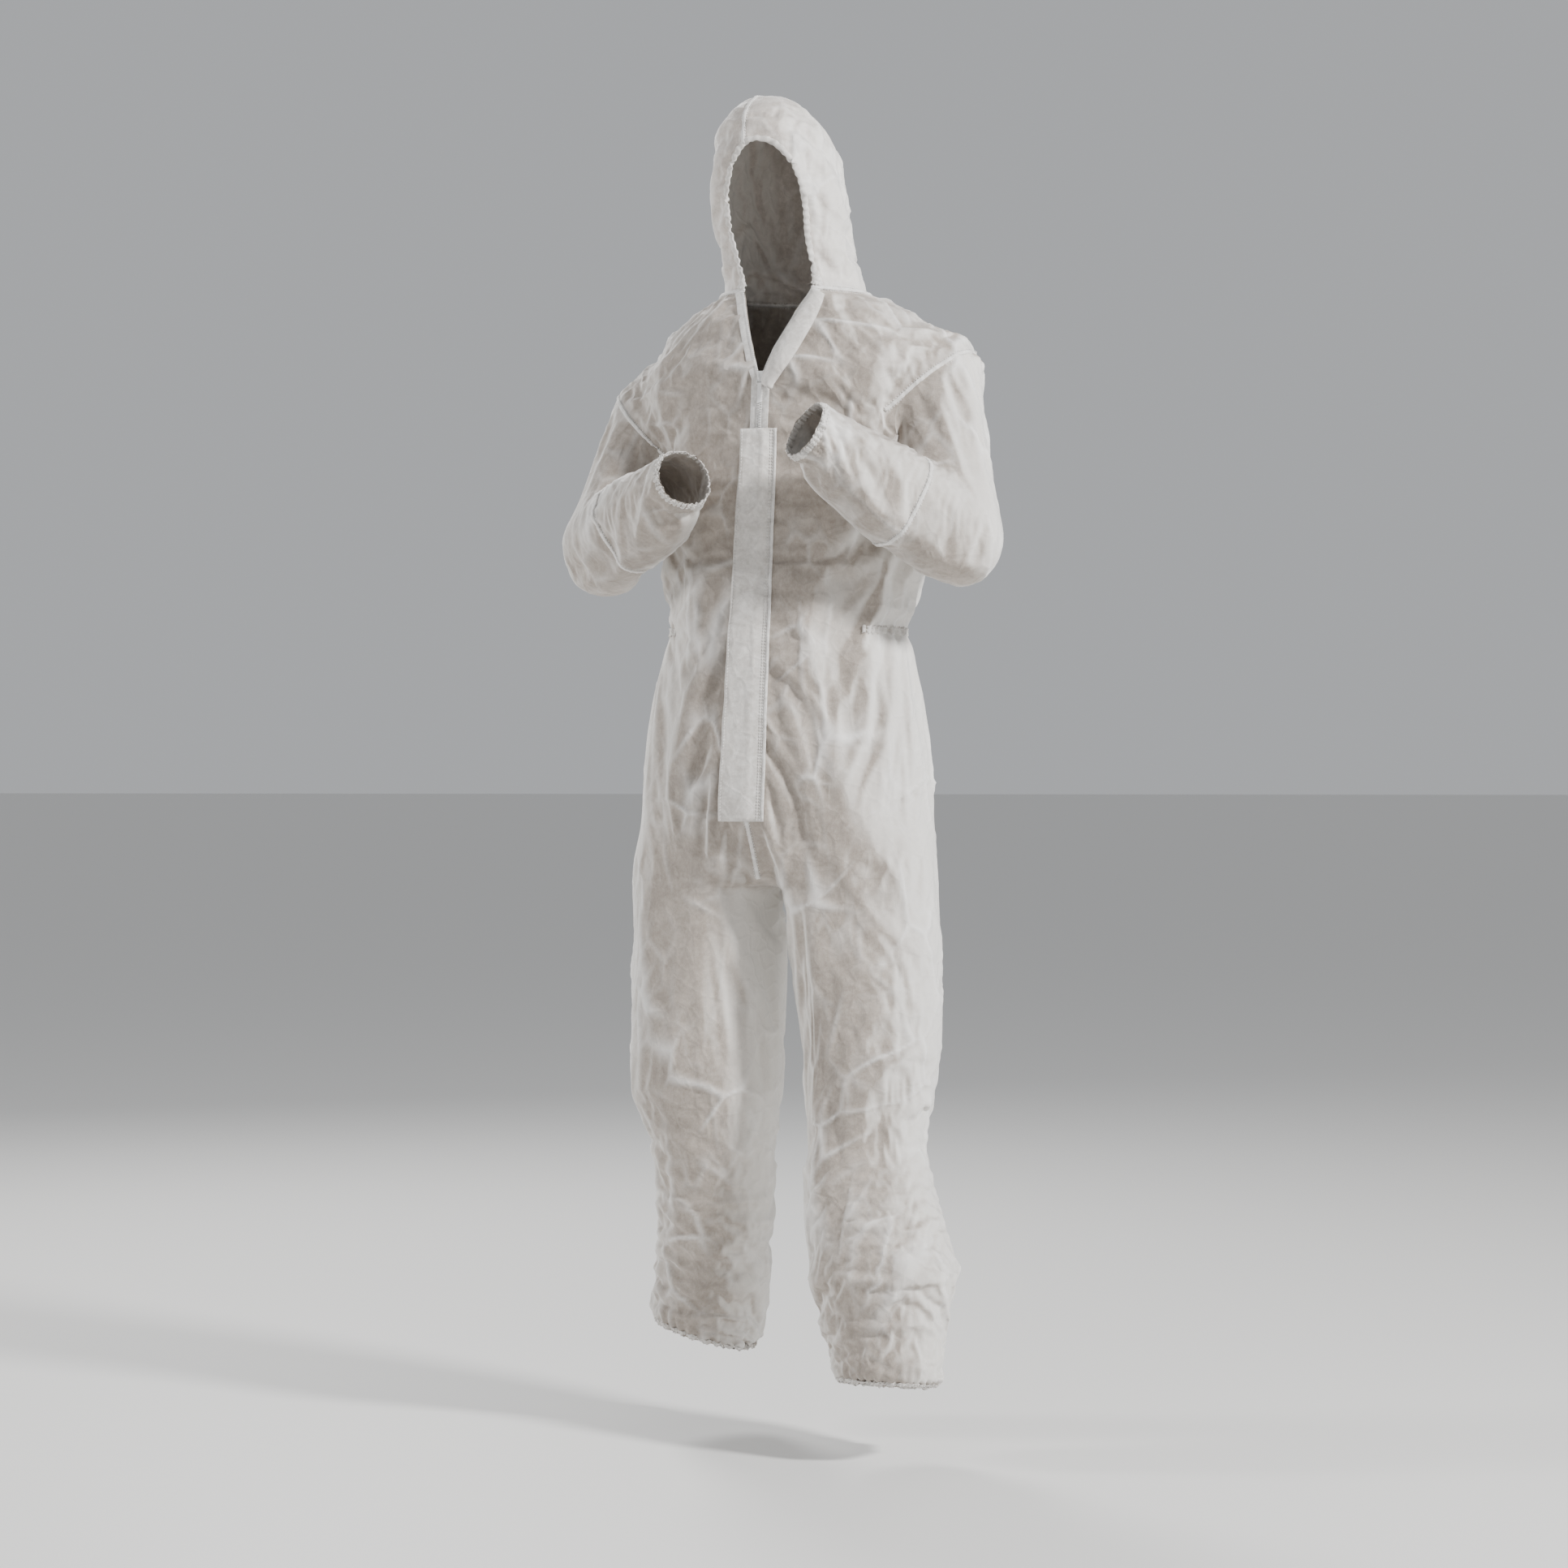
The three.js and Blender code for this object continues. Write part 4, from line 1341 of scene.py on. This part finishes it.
def gathered_elastic(name, node, over, body, width, waves=0.0062, ruffle=0.0013):
    """An elastic sewn into the cloth, puckered along its length, with its two rows of stitches."""
    line, closed = seam_line(node, over, 0.03, 0.0016)
    out = outward(line, over)
    band = ribbon(line, out, closed, width, ELASTIC_HEIGHT, lift=0.0004, ruffle=ruffle, waves=waves)
    sewn_strip(name, node, body, "elastic", line, out, band, 0.25 * width, 0.0019)


def opening_line(made):
    """The points of a piece's open edge that lie beside the face or the throat."""
    places = points_of(made.data)
    edge = np.array(edge_points(made))
    near = np.abs(opening_field(places[edge])) < 0.011
    return places[edge[near]]


def face_binding():
    """The elastic binding round the face, from one side of the neck over the top to the other."""
    points = opening_line(pieces["hood_cloth"])
    centre = OUTLINE.mean(axis=0)
    turn = np.arctan2(points[:, 0] - centre[0], points[:, 2] - centre[1] - 0.02)
    points = points[np.argsort(turn)]
    line = resampled(points, False, 0.0016)
    out = outward(line, [pieces["hood_cloth"]])
    band = ribbon(line, out, False, 0.0085, 0.0034, ruffle=0.0009, waves=0.0055)
    made = mesh_piece("face_binding", *band, cloths["elastic"], "elastic")
    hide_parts("hood_face_elastic", *[f"{side}_throat_binding" for side in SIDES])
    over_neck(made)


# ------------------------------------------------------------------ zip and storm flap
TOOTH_PITCH = 0.0022
TOOTH_WIDTH = 0.0013
TOOTH_HEIGHT = 0.0012
TAPE_WIDTH = 0.011
TAPE_THICK = 0.0009
ZIP_STEP = 0.004  # between the points of the zip's line
FLAP_THICK = 0.0016  # from the front of its first layer to the back of its second


def zip_axis():
    """The foot of the zip, and the way up along it."""
    slide = JOINTS["zip_slide"]
    way = -np.array(slide["axis"])
    foot = np.array(middle("zip_bottom_stop"))
    return foot, way / np.linalg.norm(way)


def front_depth(x, z, fallback):
    """How far forward the trunk's cloth is at a place seen from the front."""
    hit = front_tree.ray_cast(Vector((x, -0.5, z)), Vector((0, 1, 0)))
    if hit[0] is None or hit[0].y > -0.06:
        return fallback
    return hit[0].y


def zip_edges():
    """The zip's inner edges, one for each side, from its foot up to the throat."""
    foot, way = zip_axis()
    fork = np.array(middle("zip_slider"))
    edges = {}
    for side, sign in SIDES.items():
        low, high = box(f"{side}_zip_tape")
        top = np.array([(high.x - 0.012) if sign > 0 else (low.x + 0.012), 0, high.z])
        lift = np.array([sign * 0.0011, 0, 0])
        marks = np.arange(0, (fork - foot) @ way, ZIP_STEP)
        straight = [foot + way * mark + lift for mark in marks]
        count = int(np.linalg.norm((top - fork)[[0, 2]]) / ZIP_STEP)
        open_part = [fork + (top - fork) * t / count + lift for t in range(1, count)]
        line = np.array(straight + open_part)
        depth = np.array([front_depth(p[0] + sign * 0.006, p[2], np.nan) for p in line])
        known = ~np.isnan(depth)
        depth = np.interp(np.arange(len(line)), np.arange(len(line))[known], depth[known])
        line[:, 1] = smoothed(depth, 4) - 0.0012
        edges[side] = line
    return edges


def make_zip():
    """The two tapes with their coils of teeth."""
    for side, line in zip_edges().items():
        sign = SIDES[side]
        out = np.tile(FORWARD, (len(line), 1))
        shifted = line + np.array([sign * 0.0065, 0, 0])
        tape = ribbon(shifted, out, False, TAPE_WIDTH, TAPE_THICK, ruffle=0.0002)
        made = mesh_piece(f"{side}_tape_cloth", *tape, cloths["tape"], "tape")
        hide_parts(f"{side}_zip_tape")
        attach(made, "trunk")
        lengths = lengths_along(line)
        parts = []
        offset = 0.0 if sign > 0 else TOOTH_PITCH / 2
        for mark in np.arange(offset, lengths[-1], TOOTH_PITCH):
            place = read_at(mark, lengths, line)
            start = place + np.array([-sign * 0.0014, -0.0013, 0])
            end = place + np.array([sign * 0.0024, -0.0009, 0.0003])
            tooth_line = np.array([start, (start + end) / 2 + np.array([0, -0.0004, 0]), end])
            parts.append(ribbon(tooth_line, np.tile(FORWARD, (3, 1)), False, TOOTH_WIDTH, TOOTH_HEIGHT))
        teeth = mesh_piece(f"{side}_teeth", *joined(parts), cloths["nylon"], "nylon")
        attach(teeth, "trunk")


def two_layers(name, grid, material):
    """A strip of cloth folded double, from a grid of places on its front."""
    rows, across = grid.shape[0] - 1, grid.shape[1]
    columns = across - 1
    front = grid.reshape(-1, 3)
    back = front + np.array([0, FLAP_THICK, 0])
    faces = []
    count = len(front)
    for r in range(rows):
        for c in range(columns):
            a = r * across + c
            faces.append([a, a + 1, a + 1 + across, a + across])
            faces.append([count + a, count + a + across, count + a + 1 + across, count + a + 1])
    rim_points = list(range(across))
    rim_points += [r * across + columns for r in range(1, rows + 1)]
    rim_points += [rows * across + c for c in range(columns - 1, -1, -1)]
    rim_points += [r * across for r in range(rows - 1, 0, -1)]
    for a, b in zip(rim_points, rim_points[1:] + rim_points[:1]):
        faces.append([a, b, count + b, count + a])
    return mesh_piece(name, np.concatenate([front, back]), faces, material, "spunbond")


def smoothed(values, reach):
    width = 2 * reach + 1
    return np.convolve(np.pad(values, reach, mode="edge"), np.ones(width) / width, mode="valid")


def make_flap():
    """The storm flap: two layers folded at the free edge, sewn down on the wearer's left of the zip."""
    foot, way = zip_axis()
    free_low = box("storm_flap")[0]
    hinge = joint_place("flap_hinge")
    bottom = free_low.z
    top = box("storm_flap_seam")[1].z

    def zip_x(z):
        return foot[0] + way[0] / way[2] * (z - foot[2])

    seam_mid = middle("storm_flap_seam")
    sewn = seam_mid.x - zip_x(seam_mid.z) + 0.004
    free = free_low.x - zip_x(free_low.z)
    taper = 0.017
    rows = int((top - bottom) / 0.006)
    columns = 18
    grid = np.zeros((rows + 1, columns + 1, 3))
    for r in range(rows + 1):
        z = bottom + (top - bottom) * r / rows
        edge = free + taper * r / rows
        depths = []
        for c in range(columns + 1):
            u = sewn + (edge - sewn) * c / columns
            depths.append(front_depth(zip_x(z) + u, z, -0.15))
        for c in range(columns + 1):
            share = c / columns
            u = sewn + (edge - sewn) * share
            base = min(depths[max(0, c - 3): c + 4])
            stand = 0.0012 + 0.0062 * min(1.0, share * 3) ** 1.5
            drift = noise.noise(Vector((u * 30, z * 9, 2.0)))
            edge_wave = 0.0030 * share**2 * noise.noise(Vector((1.0, z * 18, 5.0)))
            crease = 0.0016 * cell_edge(u * 26 + drift, z * 14, 3.0)
            sag = 0.002 * share * noise.noise(Vector((u * 12, z * 14, 8.0)))
            grid[r, c] = (zip_x(z) + u + edge_wave, base - stand - 0.0012 * drift - crease - sag, z)
    for c in range(columns + 1):
        grid[:, c, 1] = smoothed(grid[:, c, 1], 3) * 0.6 + grid[:, c, 1] * 0.4
    flap = two_layers("flap_cloth", grid, cloths["double"])
    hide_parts("storm_flap", "storm_flap_fold")
    start = (hinge.x + 0.002, hinge.y, hinge.z)
    end = (hinge.x - 0.012, hinge.y, hinge.z)
    point(start)
    point(end)
    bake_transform(flap)
    out = np.tile([0.15, -1.0, 0.0], (rows + 1, 1))
    welt = ribbon(grid[:, 0], out, False, 0.0045, 0.0026, ruffle=0.0003, waves=0.01)
    made = mesh_piece("flap_seam_welt", *welt, cloths["seam"], "seam")
    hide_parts("storm_flap_seam")
    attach(made, "trunk")
    ahead = np.tile(FORWARD, (rows + 1, 1))
    proud = np.array([0, -0.0004, 0])
    sewn_rows = joined([stitches(grid[:, column] + proud, ahead) for column in (1, 2)])
    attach(mesh_piece("flap_stitches", *sewn_rows, cloths["thread"], "seam"), "trunk")
    edge_row = stitches(grid[:, columns - 1] + proud, ahead)
    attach(mesh_piece("flap_edge_stitches", *edge_row, cloths["thread"], "seam"), "storm_flap")
    return flap


def make_lapel():
    """The top of the flap, turned out along the open zip on the wearer's left."""
    line = zip_edges()["left"]
    fork = middle("zip_slider")
    line = line[line[:, 2] > fork.z - 0.012]
    line = line[line[:, 2] < collar - 0.004]
    columns = 9
    grid = np.zeros((len(line), columns + 1, 3))
    for r, place in enumerate(line):
        climb = r / (len(line) - 1)
        width = 0.010 + 0.022 * math.sin(math.pi * min(1.0, 0.12 + climb * 0.72))
        for c in range(columns + 1):
            share = c / columns
            x = place[0] + 0.0015 + width * share
            z = place[2] - 0.010 * share
            base = min(place[1], front_depth(x, z, place[1]))
            curl = 0.004 + 0.011 * math.sin(math.pi * share * 0.8)
            sway = 0.0016 * noise.noise(Vector((share * 2, place[2] * 25, 4.0)))
            grid[r, c] = (x + sway, base - curl + sway, z)
    for c in range(columns + 1):
        grid[:, c, 1] = smoothed(grid[:, c, 1], 3)
    lapel = two_layers("flap_top", grid, cloths["double"])
    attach(lapel, "trunk")
    return lapel


# ------------------------------------------------------------------ the suit
# toned: painted edge brightening on the sides and painted highlights on the creases
main_look = {"sheen": 0.5, "toned": True}
cloths = {
    "spunbond": fabric("spunbond", (0.52, 0.455, 0.395, 1), (0.38, 0.33, 0.285, 1), **main_look),
    "hood": fabric("spunbond_hood", (0.74, 0.68, 0.63, 1), (0.60, 0.54, 0.49, 1), **main_look),
    "double": fabric("spunbond_double", (0.90, 0.87, 0.83, 1), (0.80, 0.77, 0.73, 1)),
    "seam": fabric("seam_cloth", (0.96, 0.95, 0.93, 1), (0.90, 0.88, 0.85, 1), bump=0.5),
    "elastic": fabric("elastic_cloth", (0.92, 0.90, 0.87, 1), (0.82, 0.79, 0.75, 1), bump=0.6, fibre=1.6),
    "tape": fabric("tape_cloth", (0.90, 0.89, 0.87, 1), (0.84, 0.82, 0.79, 1), bump=0.7, fibre=2.2),
    "thread": fabric("thread", (0.97, 0.96, 0.95, 1), (0.92, 0.91, 0.89, 1), fibre=3.0),
    "nylon": moulded("nylon", (0.93, 0.92, 0.90, 1), 0.38),
}
pieces = make_cloth()
for side in SIDES:
    close_armhole(side, pieces["trunk_cloth"], pieces[f"{side}_sleeve_top"])
front_tree = BVHTree.FromPolygons(
    [v.co for v in pieces["trunk_cloth"].data.vertices], faces_of(pieces["trunk_cloth"].data)
)
trunk_cloth = [pieces["trunk_cloth"]]
hood_cloth = [pieces["hood_cloth"]]
for side in SIDES:
    sleeve_end = [pieces[f"{side}_sleeve_end"]]
    leg_end = [pieces[f"{side}_leg_end"]]
    forearm = f"{side}_lower_sleeve"
    sewn_seam(f"{side}_armhole_welt", f"{side}_armhole_seam", trunk_cloth, "trunk")
    sewn_seam(f"{side}_elbow_welt", f"{side}_elbow_seam", sleeve_end, forearm)
    gathered_elastic(f"{side}_cuff_band", f"{side}_cuff_elastic", sleeve_end, forearm, CUFF_WIDTH)
    gathered_elastic(f"{side}_ankle_band", f"{side}_ankle_elastic", leg_end, f"{side}_shin", CUFF_WIDTH)
puckers = {"waves": 0.009, "ruffle": 0.0022}
gathered_elastic("waist_band", "waist_elastic", trunk_cloth, "trunk", WAIST_WIDTH, **puckers)
sewn_seam("neck_welt", "neck_seam", trunk_cloth, "trunk")
sewn_seam("hood_welt", "hood_centre_seam", hood_cloth, "hood")
sewn_seam("back_welt", "back_seam", trunk_cloth, "trunk")
sewn_seam("rise_welt", "front_rise_seam", trunk_cloth, "trunk")
face_binding()
make_zip()
flap = make_flap()
lapel = make_lapel()
assign_cloth()
for name in ("zip_slider", "zip_pull", "zip_bottom_stop"):
    node = frame["nodes"][name]
    node.data.materials.clear()
    node.data.materials.append(cloths["nylon"])

studio()
camera()

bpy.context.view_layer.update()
